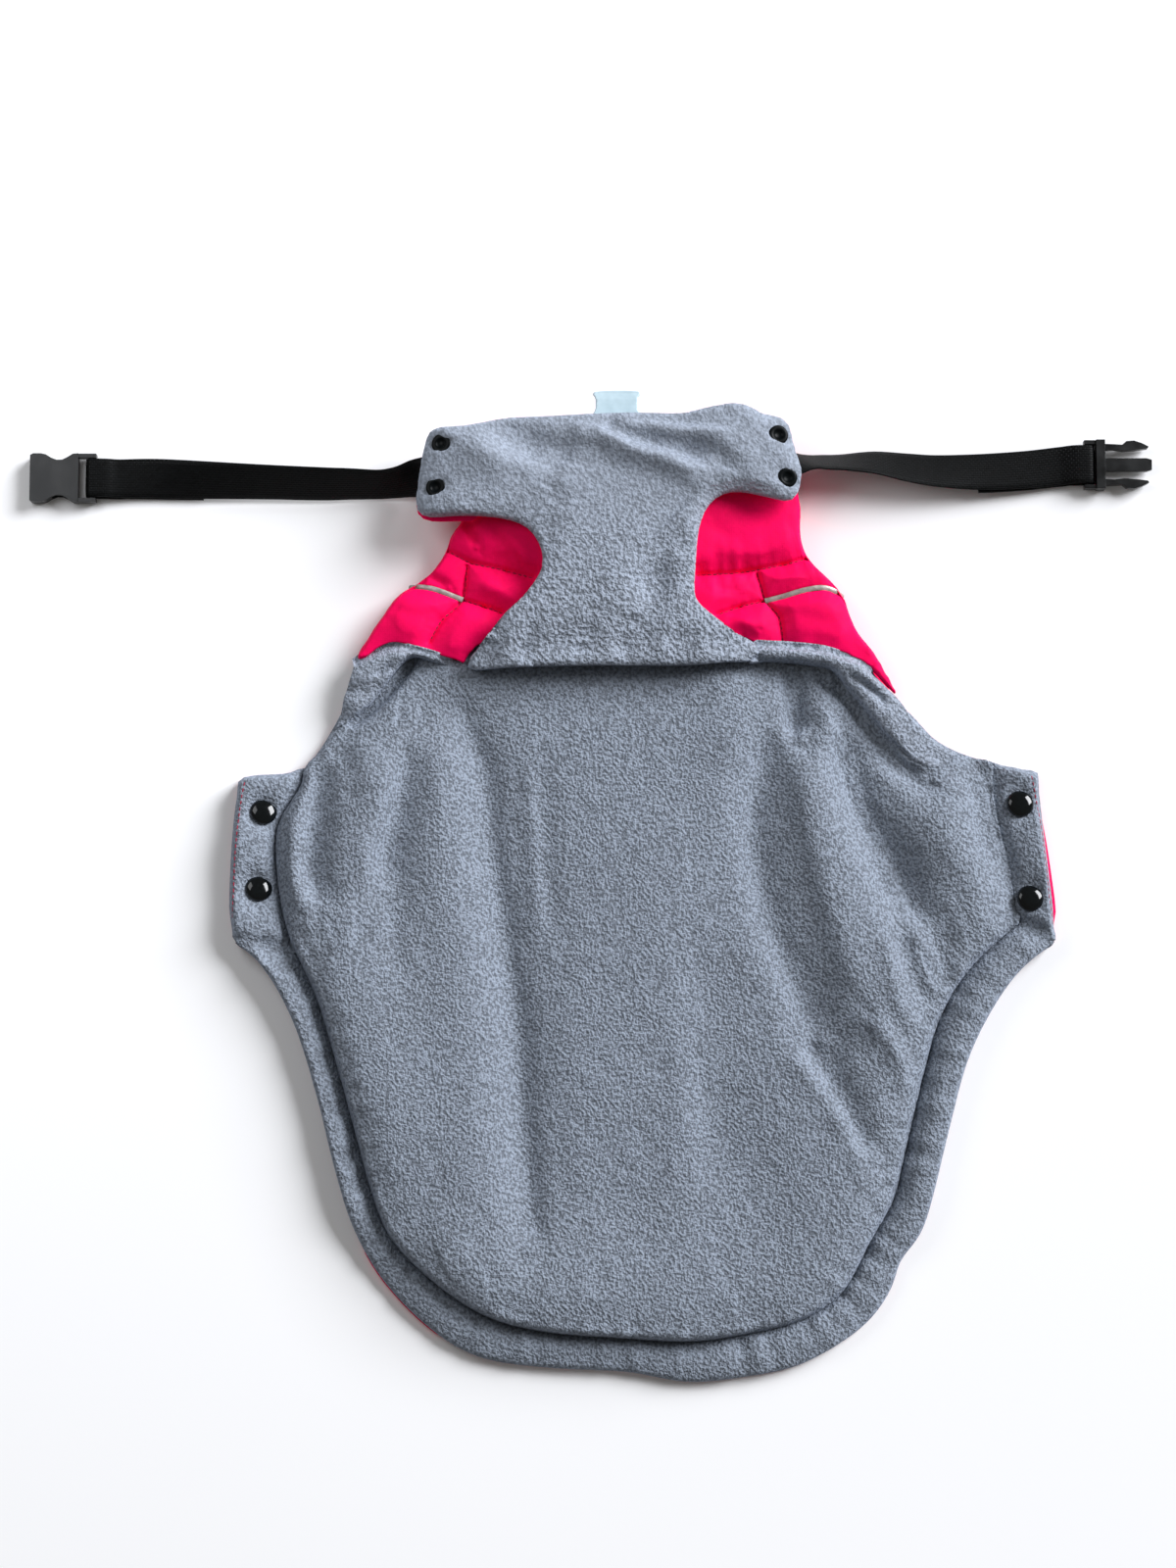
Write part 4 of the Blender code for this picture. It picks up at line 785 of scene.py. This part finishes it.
def turned(name, profile, sides=40):
    """A round piece drawn up from a disc by extruding and scaling it through its (radius, height) rows."""
    bpy.ops.object.select_all(action="DESELECT")
    first = profile[0]
    bpy.ops.mesh.primitive_circle_add(vertices=sides, radius=first[0] * MM, fill_type="NGON",
                                      location=(0, 0, first[1] * MM))
    piece = bpy.context.object
    piece.name = name
    bpy.ops.object.transform_apply(location=True)
    bpy.ops.object.mode_set(mode="EDIT")
    bpy.ops.mesh.select_all(action="SELECT")
    for (before, low), (radius, high) in zip(profile, profile[1:]):
        bpy.ops.mesh.extrude_region_move(TRANSFORM_OT_translate={"value": (0, 0, (high - low) * MM)})
        ratio = radius / before
        bpy.ops.transform.resize(value=(ratio, ratio, 1), center_override=(0, 0, high * MM))
    bpy.ops.mesh.select_all(action="SELECT")
    bpy.ops.mesh.normals_make_consistent(inside=False)
    bpy.ops.object.mode_set(mode="OBJECT")
    bpy.ops.object.shade_smooth()
    piece.data.materials.clear()
    return piece


def copied(piece, name, place):
    """A copy of a piece with its own mesh, moved by a matrix."""
    mesh = piece.data.copy()
    mesh.transform(place)
    return placed(name, mesh)


acetal = glossy_acetal("black_moulded_acetal")
SNAP_PLACES = [(side, end) for side in ("left", "right") for end in ("front", "rear")]
CAP_PROFILE = [(6.0, 0.0), (6.55, 0.15), (6.85, 0.5), (6.85, 1.05), (6.65, 1.55), (6.2, 2.05), (5.4, 2.6),
               (4.4, 3.02), (3.3, 3.3), (2.2, 3.45), (1.1, 3.51), (0.15, 3.52)]
CAP_TILT = {"left": (14, 14), "right": (2, 8)}    # degrees; each cap leans with its tab
cap = turned("cap", CAP_PROFILE)
for side, end in SNAP_PLACES:
    name = f"snap_cap_{side}_{end}"
    low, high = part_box(name)
    lean, tip = (math.radians(angle) for angle in CAP_TILT[side])
    tilt = Matrix.Rotation(lean, 4, "Y") @ Matrix.Rotation(-tip, 4, "X")
    seat = Matrix.Translation(((low.x + high.x) / 2, (low.y + high.y) / 2, low.z))
    finished(copied(cap, name + "_dome", seat @ tilt), acetal, name)
bpy.data.objects.remove(cap, do_unlink=True)

# ---- Chest shell ------------------------------------------------------------------------------
# The chest is a padded panel of the red nylon, quilted in blocks, and its sides wrap down to the
# back. It is blown up as a cushion with its seams held down, then the seams are pulled in.
PIPING_LEFT = [(-92.5, 153.4), (-80, 151.5), (-65, 146)]
PIPING_RIGHT = [(89, 145.5), (98, 147.6), (110, 151), (120, 152), (129, 148.5)]
UPPER_RIGHT_SEAM = [(54, 158.5), (75, 160), (98, 164), (112, 168)]
QUILTING = [
    [(-74, 172), (-61, 165), (-45, 161.5), (-29, 157)],
    [(-63, 163.5), (-65, 146), (-76, 135), (-82, 124)],
    [(-65, 146), (-56, 143), (-44, 139)],
    UPPER_RIGHT_SEAM,
    [(85, 160), (89, 145.5), (96, 137), (98, 124)],
    [(89, 145.5), (78, 143), (64, 138)],
    PIPING_LEFT,
    PIPING_RIGHT,
]
LIGHT_CREASES = [
    ([(-64, 187), (-62, 181), (-58, 172)], -2.6, 2, 3),
    ([(-50, 188), (-47, 178), (-46, 170)], -1.2, 4, 4),
    ([(-84, 159), (-77, 155), (-72, 152)], -1.8, 2, 3),
    ([(-100, 143), (-92, 138), (-80, 137)], -0.6, 4, 3),
    ([(-58, 158), (-50, 152), (-40, 149)], 1.2, 4, 4),
    ([(60, 186), (70, 178), (84, 174)], -0.7, 4, 4),
    ([(100, 140), (112, 136), (128, 132)], -0.6, 4, 4),
    ([(62, 152), (72, 150), (80, 151)], -1.2, 3, 3),
    ([(74, 128), (80, 126), (85, 129)], -1.3, 3, 2),
    ([(70, 135), (78, 134), (86, 130)], 1.4, 3, 3),
]
QUILTED_SIDE = 11.5     # the chest's quilted side lies above this height, in mm
VOXEL = 3.6
BLOWN_FRAMES = 20
HELD_RIM = 5            # the rim and the seams stay put so far round while the padding is blown
HELD_SEAM = 3
PAD_RISE = 3.2          # the most that the blown padding stands off the solid's form
SEAM_SUNK = 2.0         # how deep a seam's groove is, and how far the padding round it is drawn down
SEAM_DRAWN = 1.8
REAR_CORNER = (-114, 120)   # the left rear corner is drawn out over the rolled edge below it
CORNER_PULL = (-3.2, -4.0)
mesh = bpy.data.meshes.new("chest_shell_padded")
work = merged("chest_shell")
work.to_mesh(mesh)
work.free()
chest = placed("chest_shell_padded", mesh)
bpy.ops.object.select_all(action="DESELECT")
bpy.context.view_layer.objects.active = chest
chest.select_set(True)
remesh = chest.modifiers.new("voxels", "REMESH")
remesh.mode = "VOXEL"
remesh.voxel_size = VOXEL * MM
remesh.use_smooth_shade = True
bpy.ops.object.modifier_apply(modifier=remesh.name)
before = spots(chest)
chest_ring = outline_of("chest_shell")
rim = reach(before, chest_ring, True)
near_seam = np.min([reach(before, line) for line in QUILTING], axis=0)
upper_side = before[:, 2] > QUILTED_SIDE
held = chest.vertex_groups.new(name="held")
still = (rim < HELD_RIM) | ~upper_side | (near_seam < HELD_SEAM)
held.add(np.flatnonzero(still).tolist(), 1.0, "REPLACE")
blown = chest.modifiers.new("padding", "CLOTH")
blown.settings.vertex_group_mass = held.name
blown.settings.use_pressure = True
blown.settings.uniform_pressure_force = 4
blown.settings.shrink_min = -0.06
blown.settings.effector_weights.gravity = 0
for step in range(1, BLOWN_FRAMES + 1):
    bpy.context.scene.frame_set(step)
shape = chest.evaluated_get(bpy.context.evaluated_depsgraph_get())
after = np.zeros(3 * len(shape.data.vertices))
shape.data.vertices.foreach_get("co", after)
after = after.reshape(-1, 3) / MM
after[:, :2] += PATTERN_CENTRE
travel = after - before
size = np.linalg.norm(travel, axis=1)[:, None]
after = before + travel * np.minimum(1, PAD_RISE / np.maximum(size, 1e-6))
chest.modifiers.remove(blown)
between = 0.5 * upper_side * soft(near_seam, 5)
after[:, 2] = relaxed(chest, after[:, 2], upper_side, weight=between, rounds=14)
place_spots(chest, after)
finer = chest.modifiers.new("finer", "SUBSURF")
finer.levels = finer.render_levels = 2
bpy.ops.object.modifier_apply(modifier=finer.name)
co = spots(chest)
upper = co[:, 2] > QUILTED_SIDE
near_seam = np.min([reach(co, line) for line in QUILTING], axis=0)
sunk = -SEAM_SUNK * bell(near_seam, 1.0) - SEAM_DRAWN * bell(near_seam, 5)
for number, line in enumerate(QUILTING):
    sunk += puckers(co, line, height=0.8, length=2.6, every=2.6, seed=7.3 * number)
sunk += puckers(co, UPPER_RIGHT_SEAM, height=1.6, length=8, every=4.5, seed=2.2)
sunk += puckers(co, chest_ring, height=0.7, length=4, every=4.5, seed=4.4, closed=True)
co[:, 2] += np.where(upper, sunk + creases(co, LIGHT_CREASES), 0)
from_corner = np.hypot(*(co[:, :2] - REAR_CORNER).T)
co[:, :2] += np.outer(bell(from_corner, 6), CORNER_PULL)
place_spots(chest, co)
chest.data.shade_smooth()
finished(chest, red_nylon, "chest_shell")
chest_tree = surface_tree(chest)
# A darker copy of the red thread: painted shade on the stitches that lie sunk in the seams' grooves.
painted_shade_thread = spun_thread("red_spun_polyester_painted_shade", body="#7E0828", shade="#52041A")
# The two piped seams, last in the list, show no stitches.
stitched("chest_quilting_stitches", chest_tree, QUILTING[:-2], painted_shade_thread,
         pitch=2.8, thread=0.45)

# ---- Chest lining and its rolled edges --------------------------------------------------------
# A fleece lining under the chest, whose edge is rolled up over the shell's raw edge at the mouth
# and runs on down both armholes.
chest_lining, _, _ = cloth("chest_lining", "fleece", step=7)
finished(chest_lining, grey_fleece, "chest_lining")

EDGE_CREASES = {
    "left": [([(-109, 105), (-104, 110), (-99, 113)], -2.6, 2, 2),
             ([(-114, 117), (-104, 119), (-94, 120)], -1.2, 2, 3)],
    "right": [([(130, 107), (138, 103), (146, 97), (151, 92)], -2.8, 2, 2),
              ([(127, 115), (140, 109), (150, 100)], 1.0, 3, 3)],
}
# Each strip flattens into the armhole towards its tip at (x, y), over a length.
EDGE_TIPS = {"left": (-127, 83, 14), "right": (180, 65, 36)}
EDGE_ROLL = 3.4         # how far the strips roll up in front of the chest's edge
UNDER_FLAP = 4          # and how far they dip beside the flap's stem
body_tree = surface_tree(back_lining)
flap_ring = outline_of("flap_lining")
for side, cut in (("left", (0.024, 0.078)), ("right", (0.03, 0.125))):
    strip, upper, edge = cloth("chest_edge_" + side, "fleece", step=2.8, cuts=2, rounds=12, hold=3, roll=1.2,
                               tucked=[("chest_shell", lambda ring: 2 * soft(ring[:, 1] - 105, 9)),
                                       ("flap_lining", 4),
                                       ("back_lining", lambda ring: -1.6 * soft(98 - ring[:, 1], 12))])
    co = spots(strip)
    x, y, length = EDGE_TIPS[side]
    flattened = soft(length - np.hypot(co[:, 0] - x, co[:, 1] - y), length)
    body = laid_on(body_tree, co[:, :2], 0.4)[:, 2]
    beside_flap = beyond(co, flap_ring)
    raised = EDGE_ROLL * soft(reach(co, chest_ring, True) - 0.5, 4) * soft(co[:, 1] - 98, 9)
    raised = raised * soft(beside_flap + 3, 6) - UNDER_FLAP * soft(0.5 - beside_flap, 4)
    co[:, 2] += np.where(upper, raised, 0)
    co[:, 2] += np.where(upper, creases(co, EDGE_CREASES[side]) * soft(edge, 2), 0)
    co[:, 2] = np.where(upper, co[:, 2] + flattened * (np.minimum(body, co[:, 2]) - co[:, 2]), co[:, 2])
    place_spots(strip, co)
    nap(strip, upper, edge, curl=0.15, lump=0.2, seed=9.2)
    # The strips take the lighter copy of the fleece: painted light.
    finished(strip, painted_light_fleece, "chest_edge_" + side)

# ---- Piping -----------------------------------------------------------------------------------
# Reflective piping 2.6 mm wide, of glass-bead tape folded round a thin cord that keeps it full.
# One length is sewn into a chest seam on each side.


def bead_tape(name):
    """Retroreflective tape: glass beads in a grey binder, flat grey here and bright only to a lamp."""
    made, tree = material(name)
    place = add(tree, "TexCoord").outputs["Object"]
    beads = add(tree, "TexVoronoi", {"Vector": place, "Scale": 1 / (0.5 * MM)})
    scuffs = add(tree, "TexNoise", {"Vector": place, "Scale": 1 / (4 * MM), "Detail": 4.0})
    colour = add(tree, "ValToRGB", {0: scuffs}, stops=[(0.35, "#8B817B"), (0.65, "#B3ABA5")])
    bump = add(tree, "Bump", {"Height": beads, "Strength": 0.3, "Distance": 0.15 * MM})
    shader = add(tree, "BsdfPrincipled", {"Base Color": colour, "Roughness": 0.42,
                                          "Metallic": 0.25, "Normal": bump})
    add(tree, "OutputMaterial", {"Surface": shader})
    return made


def ribbon(name, path, across, thick):
    """A closed ribbon along a path of (x, y, z), with its middle crowned."""
    path = np.asarray(path, float)
    along = np.gradient(path, axis=0)
    along /= np.linalg.norm(along, axis=1)[:, None]
    side = np.cross(along, (0, 0, 1))
    side /= np.linalg.norm(side, axis=1)[:, None]
    normal = np.cross(side, along)
    t = np.linspace(-1, 1, 6)
    loop = [(u, thick / 2 * math.sqrt(1 - 0.75 * u * u)) for u in t]
    loop += [(u, -thick / 2) for u in t[::-1]]
    points = [p + side[k] * u * across / 2 + normal[k] * v for k, p in enumerate(path) for u, v in loop]
    piece = joined_up(name, points, tube_faces(len(loop), len(path)))
    piece.data.set_sharp_from_angle(angle=math.radians(60))
    return piece


grey_tape = bead_tape("grey_glass_bead_tape")
for side, line in (("left", PIPING_LEFT), ("right", PIPING_RIGHT)):
    path = laid_on(chest_tree, curve(line, 1.2), 1.3)
    path[:, 2] = np.convolve(np.pad(path[:, 2], 3, mode="edge"), np.ones(7) / 7, mode="valid")
    piece = ribbon(f"piping_{side}_tape", path, across=2.6, thick=1.5)
    finished(piece, grey_tape, "piping_" + side)

# ---- Belly flap -------------------------------------------------------------------------------
# The flap is a T of nylon and fleece. Its stem rolls over at the chest's mouth and its bar lies
# forward over the chest, with the belt sewn under it.
# From a start on its right (1) or left (-1) the stem's fold comes down, over a run, by a drop.
FOLD_ENDS = {1: (58, 26, 6.0), -1: (34, 32, 6.5)}


def fold_lowered(co):
    """How far the ends of the stem's fold come down to the rolled edges beside them."""
    drops = [drop * soft(way * co[:, 0] - start, run) for way, (start, run, drop) in FOLD_ENDS.items()]
    return sum(drops) * soft(134 - co[:, 1], 14)


FLAP_INSET = 3.2        # the shell stays back under the lining, but at the bar's left corner
LEFT_CORNER = [(-86, 190), (-76, 188), (-65, 188)]
flap_shell, upper, edge = cloth("flap_shell", "nylon", step=5, eased=2)
co = spots(flap_shell)
co[:, 2] -= np.where(upper, fold_lowered(co) + 0.6, 0)
place_spots(flap_shell, co)
drawn_in(flap_shell, edge, FLAP_INSET * soft(reach(spots(flap_shell), LEFT_CORNER) - 6, 4))
finished(flap_shell, red_nylon, "flap_shell")

FLAP_CREASES = [
    ([(26, 240), (48, 235), (73, 233)], -2.2, 3, 6),
    ([(10, 240), (23, 234), (48, 230), (71, 228)], 2.2, 7, 3),
    ([(2, 236), (23, 226), (43, 221), (62, 213)], -3.8, 3, 8),
    ([(-1, 231), (21, 220), (38, 215), (56, 207)], 2.8, 6, 3),
    ([(69, 240), (72, 227), (69, 213), (59, 202)], 5.0, 9, 26),
    ([(-49, 234), (-38, 223), (-20, 216)], -3.2, 5, 9),
    ([(-62, 232), (-54, 218), (-35, 207)], 3.0, 14, 6),
    ([(5, 226), (-9, 212), (-21, 196)], 3.2, 6, 14),
    ([(43, 166), (32, 152), (23, 137)], -4.0, 10, 7),
    ([(23, 168), (18, 153), (8, 133)], 2.4, 12, 9),
    ([(4, 135), (-4, 122), (-8, 112)], -2.0, 5, 5),
    ([(-38, 129), (-43, 119), (-46, 111)], 1.6, 4, 4),
    ([(43, 135), (36, 122), (32, 112)], 1.5, 5, 4),
    ([(60, 129), (54, 118), (51, 111)], 1.4, 4, 4),
    ([(-28, 133), (-32, 121), (-34, 111)], -1.4, 4, 4),
    ([(21, 129), (18, 119), (16, 111)], -1.4, 4, 4),
    ([(-20, 192), (-23, 180), (-24, 173)], -1.8, 6, 5),
]
# The fleece is pressed in round each socket at an angle in degrees: so long, so wide and so deep.
SOCKET_LIE = {"left_front": 0, "left_rear": 25, "right_front": -25, "right_rear": -32}
SOCKET_DIMPLE = (5.6, 3.1, 3.1)
LEFT_END_RISE = 3.5     # how far the bar's left end stands up
FOLD_FOOT = 18          # the height that the stem's fold rounds up from, how far, and over how much
FOLD_RISE = 10.4
FOLD_RADIUS = 2.4
STEM_SETTLES = 2.5      # how far the stem sinks towards its fold
EDGE_OVERHANG = 1.3     # how far the flap's edge leans out over the chest, and how much more at the fold
FOLD_OVERHANG = 1.5
LEAST_FLAP = 1.5        # its least thickness
flap_lining, upper, edge = cloth("flap_lining", "fleece", step=4.6, cuts=3, rounds=12, hold=5, roll=2,
                                 eased=1, tucked=[("chest_edge_right", 1.5)])
co = spots(flap_lining)
raised_end = LEFT_END_RISE * soft(-28 - co[:, 0], 56) * soft(co[:, 1] - 176, 10)
dimples = np.zeros(len(co))
long, wide, deep = SOCKET_DIMPLE
for place, lie in SOCKET_LIE.items():
    x, y, _ = middle_of("snap_socket_" + place) / MM
    turn = math.radians(lie)
    away = co[:, :2] - PATTERN_CENTRE - (x, y)
    along = away[:, 0] * math.cos(turn) + away[:, 1] * math.sin(turn)
    across = away[:, 1] * math.cos(turn) - away[:, 0] * math.sin(turn)
    dimples += deep * bell(along, long) * bell(across, wide)
fold_round = FOLD_FOOT + FOLD_RISE * quarter_round(edge, FOLD_RADIUS)
at_fold = soft(132 - co[:, 1], 10)
inwards = np.column_stack([reach(co + shift, flap_ring, True) - reach(co - shift, flap_ring, True)
                           for shift in np.eye(3)[:2]])
inwards /= np.maximum(np.linalg.norm(inwards, axis=1), 0.5)[:, None]
co[:, 2] += np.where(upper, at_fold * (np.maximum(fold_round, co[:, 2]) - co[:, 2]), 0)
co[:, 2] += np.where(upper, creases(co, FLAP_CREASES) * soft(edge - 1, 5) + raised_end * soft(edge, 3)
                     - fold_lowered(co) - STEM_SETTLES * soft(142 - co[:, 1], 24), 0)
underside = heights("flap_lining", co, down=False)
co[:, 2] = np.where(upper, np.maximum(co[:, 2], underside + LEAST_FLAP), co[:, 2])
overhang = EDGE_OVERHANG + FOLD_OVERHANG * soft(146 - co[:, 1], 12)
overhang = overhang * bell(edge - 1.6, 1.6) * soft(edge - 0.3, 0.6)
flap_level = co.copy()
co[:, :2] -= inwards * np.where(upper, overhang, 0)[:, None]
co[:, 2] -= np.where(upper, dimples, 0)
place_spots(flap_lining, co)
nap(flap_lining, upper, edge, seed=2.6)
# The flap's fleece is brushed up with larger nubs; its lighter colours are partly painted light.
finished(flap_lining, raised_painted_light_fleece, "flap_lining")

# ---- Sockets on the flap ----------------------------------------------------------------------
# The snaps' matching sockets, moulded in the same black acetal: low rings, each with its well. They
# are pressed through the flap and lie half sunk in its pile.
SOCKET_PROFILE = [(4.6, 0.0), (5.1, 0.25), (5.2, 0.7), (4.9, 1.25), (4.2, 1.5), (3.3, 1.5), (2.6, 1.3),
                  (2.35, 1.1), (2.3, 0.95), (0.2, 0.9)]
SOCKET_SINKS = 2.6      # how deep a ring sits in the pile
SOCKET_ROUND = 9        # the fleece so far round it sets its tilt
dull_acetal = glossy_acetal("black_moulded_acetal_dull", dulled=0.3)
socket = turned("socket", SOCKET_PROFILE)
for side, end in SNAP_PLACES:
    name = f"snap_socket_{side}_{end}"
    middle = middle_of(name)
    around = np.hypot(*(flap_level[:, :2] - PATTERN_CENTRE - (middle.x / MM, middle.y / MM)).T)
    near = around < SOCKET_ROUND
    level = flap_level[near & (flap_level[:, 2] > flap_level[near, 2].mean())]
    plane = np.column_stack([level[:, :2] - level[:, :2].mean(axis=0), np.ones(len(level))])
    slope = np.linalg.lstsq(plane, level[:, 2], rcond=None)[0]
    normal = Vector((-slope[0], -slope[1], 1)).normalized()
    seat = Vector((middle.x, middle.y, slope[2] * MM)) - normal * SOCKET_SINKS * MM
    turn = Vector((0, 0, 1)).rotation_difference(normal).to_matrix().to_4x4()
    ring = copied(socket, name + "_ring", Matrix.Translation(seat) @ turn)
    finished(ring, dull_acetal, name)
bpy.data.objects.remove(socket, do_unlink=True)

# ---- Care label -------------------------------------------------------------------------------
# A bare label of woven satin, folded double. Its ends are caught in the seam at the flap's front
# edge, so that it stands out beyond it.


def satin(name):
    """Woven polyester satin: white, faintly blue, with fine ribs across and a silky gloss."""
    made, tree = material(name)
    place = add(tree, "TexCoord").outputs["Object"]
    ribs = add(tree, "TexWave", {"Vector": place, "Scale": ONE_BAND / (0.7 * MM), "Distortion": 0.6},
               bands_direction="Y")
    shade = add(tree, "TexNoise", {"Vector": place, "Scale": 1 / (6 * MM), "Detail": 2.0})
    colour = add(tree, "ValToRGB", {0: shade}, stops=[(0.3, "#B0C6CF"), (0.7, "#BFD4DD")])
    bump = add(tree, "Bump", {"Height": ribs.outputs[1], "Strength": 0.2, "Distance": 0.1 * MM})
    shader = add(tree, "BsdfPrincipled", {"Base Color": colour, "Roughness": 0.38,
                                          "Sheen Weight": 0.3, "Sheen Roughness": 0.3,
                                          "Normal": bump})
    add(tree, "OutputMaterial", {"Surface": shader})
    return made


white_satin = satin("white_polyester_satin")
label, _, _ = cloth("care_label", "satin", step=1.6, cuts=1)
finished(label, white_satin, "care_label")

# ---- Belt -------------------------------------------------------------------------------------
# Two lengths of 20 mm black polypropylene webbing, sewn under the flap's bar. Each turns round
# its buckle's bar and comes back under itself as a short sewn tail. Both lie twisted on edge.
WEB_WIDTH = 20.0
WEB_THICK = 1.4
BAR_HEIGHT = 3.95       # the buckle bar's middle over the floor, and the webbing's turn round it
TURN_RADIUS = 2.65
LOOP = 8.0              # the strap turns in to the bar so far from it
LOOP_CLOSES = 14.0      # and over so much its tail comes up to it
TAIL = 58.0
WEB_GAP = 0.35          # between the strap and its tail, and between the tail and the floor
FLOOR_GAP = 0.45
# Each row holds a strap's middle in pattern millimetres and its twist in degrees.
BELT_LEFT = [
    (-40, 211, 20.6, 0), (-62, 211, 20.5, 0), (-74, 210.5, 17.4, 0), (-82, 210, 14.2, 8),
    (-88, 209.3, 11.0, 22), (-94, 208.3, 9.6, 40), (-101, 207, 9.4, 50), (-109, 206.3, 9.4, 53),
    (-123, 206.6, 9.1, 48), (-139, 206.8, 8.7, 43), (-172, 208, 8.2, 37), (-200, 209.2, 6.8, 25),
    (-225, 210.5, 4.6, 9), (-242, 210.5, 4.2, 0)]
BELT_RIGHT = [
    (40, 213, 20.6, 0), (94, 216, 20.4, 0), (99, 216.3, 19.2, -14), (103, 216.7, 17.2, -38),
    (108, 217, 14.8, -54), (114, 217.3, 13.0, -60), (120, 217.3, 12.0, -58), (129, 217.5, 10.6, -56),
    (146, 217.6, 9.4, -44), (163, 215.3, 8.2, -32), (178, 213.8, 7.0, -24), (200, 213.6, 5.6, -12),
    (224, 215, 4.6, -5), (242, 217, 4.2, 0)]
WEB_SECTION = [(-9.7, -0.45), (-7, -0.68), (0, -0.7), (7, -0.68), (9.7, -0.45), (10, 0),
               (9.7, 0.45), (7, 0.68), (0, 0.7), (-7, 0.68), (-9.7, 0.45), (-10, 0)]


def webbing(name):
    """Polypropylene webbing, woven flat: black slick yarns in staggered picks, with a low grey sheen.

    Its pattern follows the strap's own map, where 1 is a metre along it or across it.
    """
    made, tree = material(name)
    place = add(tree, "UVMap", uv_map="strap")
    picks = add(tree, "TexBrick", {"Vector": place, "Scale": 1.0, "Mortar Size": 0.22 * MM,
                                   "Mortar Smooth": 1.0, "Brick Width": 2.3 * MM, "Row Height": 1.25 * MM,
                                   "Color1": "#050606", "Color2": "#0A0C0D", "Mortar": "#020202"})
    fluff = add(tree, "TexNoise", {"Vector": place, "Scale": 1 / (0.8 * MM), "Detail": 3.0})
    height = add(tree, "Math", {0: fluff, 1: 0.3, 2: picks.outputs["Fac"]}, operation="MULTIPLY_ADD")
    bump = add(tree, "Bump", {"Height": height, "Strength": 0.8, "Distance": 0.35 * MM}, invert=True)
    shader = add(tree, "BsdfPrincipled", {"Base Color": picks.outputs["Color"], "Roughness": 0.5,
                                          "Specular IOR Level": 0.11, "Normal": bump})
    add(tree, "OutputMaterial", {"Surface": shader})
    return made


def strap(name, rows, bar, side, skew):
    """Webbing along its rows, over the buckle's bar, round it and back under itself as a tail."""
    over = [(bar[0] - side * LOOP, bar[1], BAR_HEIGHT + TURN_RADIUS - 0.5, 0),
            (bar[0], bar[1], BAR_HEIGHT + TURN_RADIUS, 0)]
    path = curve(rows + over, 2.5)
    centres = [Vector(p[:3]) for p in path]
    twists = [math.radians(p[3]) for p in path]
    for k in range(1, 12):
        angle = math.pi * k / 12
        centres.append(Vector((bar[0] + side * TURN_RADIUS * math.sin(angle), bar[1],
                               BAR_HEIGHT + TURN_RADIUS * math.cos(angle))))
        twists.append(0.0)
    centres.append(Vector((bar[0], bar[1], BAR_HEIGHT - TURN_RADIUS)))
    twists.append(0.0)
    for k in reversed([k for k in range(len(path)) if LOOP < abs(bar[0] - path[k][0]) < TAIL]):
        twist = math.radians(path[k][3])
        away = abs(bar[0] - path[k][0])
        lower = max(WEB_THICK + WEB_GAP, 2 * TURN_RADIUS * (1 - (away - LOOP) / LOOP_CLOSES))
        centre = Vector(path[k][:3]) - Vector((0, -math.sin(twist), math.cos(twist))) * lower
        centre += Vector((0, math.cos(twist), math.sin(twist))) * skew * min(1, away / TAIL)
        centre.z = max(centre.z, WEB_THICK / 2 + FLOOR_GAP + 0.5 * WEB_WIDTH * abs(math.sin(twist)))
        centres.append(centre)
        twists.append(twist)
    length = [0.0]
    for a, b in zip(centres, centres[1:]):
        length.append(length[-1] + (b - a).length)
    points = []
    for k, centre in enumerate(centres):
        along = (centres[min(k + 1, len(centres) - 1)] - centres[max(k - 1, 0)]).normalized()
        across = Vector((0, math.cos(twists[k]), math.sin(twists[k])))
        across = (across - along * across.dot(along)).normalized()
        normal = along.cross(across)
        points += [centre + across * u + normal * v for u, v in WEB_SECTION]
    piece = joined_up(name, points, tube_faces(len(WEB_SECTION), len(centres)))
    table = piece.data.uv_layers.new(name="strap")
    for loop in piece.data.loops:
        station, place = divmod(loop.vertex_index, len(WEB_SECTION))
        table.data[loop.index].uv = (length[station] * MM, WEB_SECTION[place][0] * MM)
    return piece, length[-1] * MM


black_webbing = webbing("black_polypropylene_webbing")
FEMALE_BAR = (-256.2, 210.5)
MALE_BAR = (256.0, 217.5)
# Each strap's rows, the bar it turns round, the way it points and how far its tail lies askew.
STRAPS = [
    ("left", BELT_LEFT, FEMALE_BAR, -1, -1.4),
    ("right", BELT_RIGHT, MALE_BAR, 1, -1.0),
]
for side, rows, bar, way, skew in STRAPS:
    piece, length = strap(f"belt_{side}_webbing", rows, bar, way, skew)
    finished(piece, black_webbing, "belt_" + side)

# ---- Buckle -----------------------------------------------------------------------------------
# A side-release buckle of 20 mm, moulded in black acetal, lying open: the socket half on the left
# strap and the plug half, with its tongue and two sprung prongs, on the right one.


def satin_acetal(name):
    """Acetal moulded in an eroded mould: a fine satin grain, with a gloss that varies in broad patches."""
    made, tree = material(name)
    place = add(tree, "TexCoord").outputs["Object"]
    grain = add(tree, "TexNoise", {"Vector": place, "Scale": 1 / (0.6 * MM), "Detail": 4.0, "Roughness": 0.6})
    flow = add(tree, "TexNoise", {"Vector": place, "Scale": 1 / (9 * MM), "Detail": 3.0})
    rough = add(tree, "MapRange", {0: flow, 1: 0.3, 2: 0.7, 3: 0.28, 4: 0.45})
    colour = add(tree, "ValToRGB", {0: flow}, stops=[(0.3, "#08090A"), (0.7, "#121415")])
    bump = add(tree, "Bump", {"Height": grain, "Strength": 0.25, "Distance": 0.12 * MM})
    shader = add(tree, "BsdfPrincipled", {"Base Color": colour, "Roughness": rough,
                                          "IOR": 1.48, "Normal": bump})
    add(tree, "OutputMaterial", {"Surface": shader})
    return made


moulded = satin_acetal("black_satin_acetal")
for half in ("buckle_female", "buckle_male"):
    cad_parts[half].data.materials.clear()
    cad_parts[half].data.materials.append(moulded)
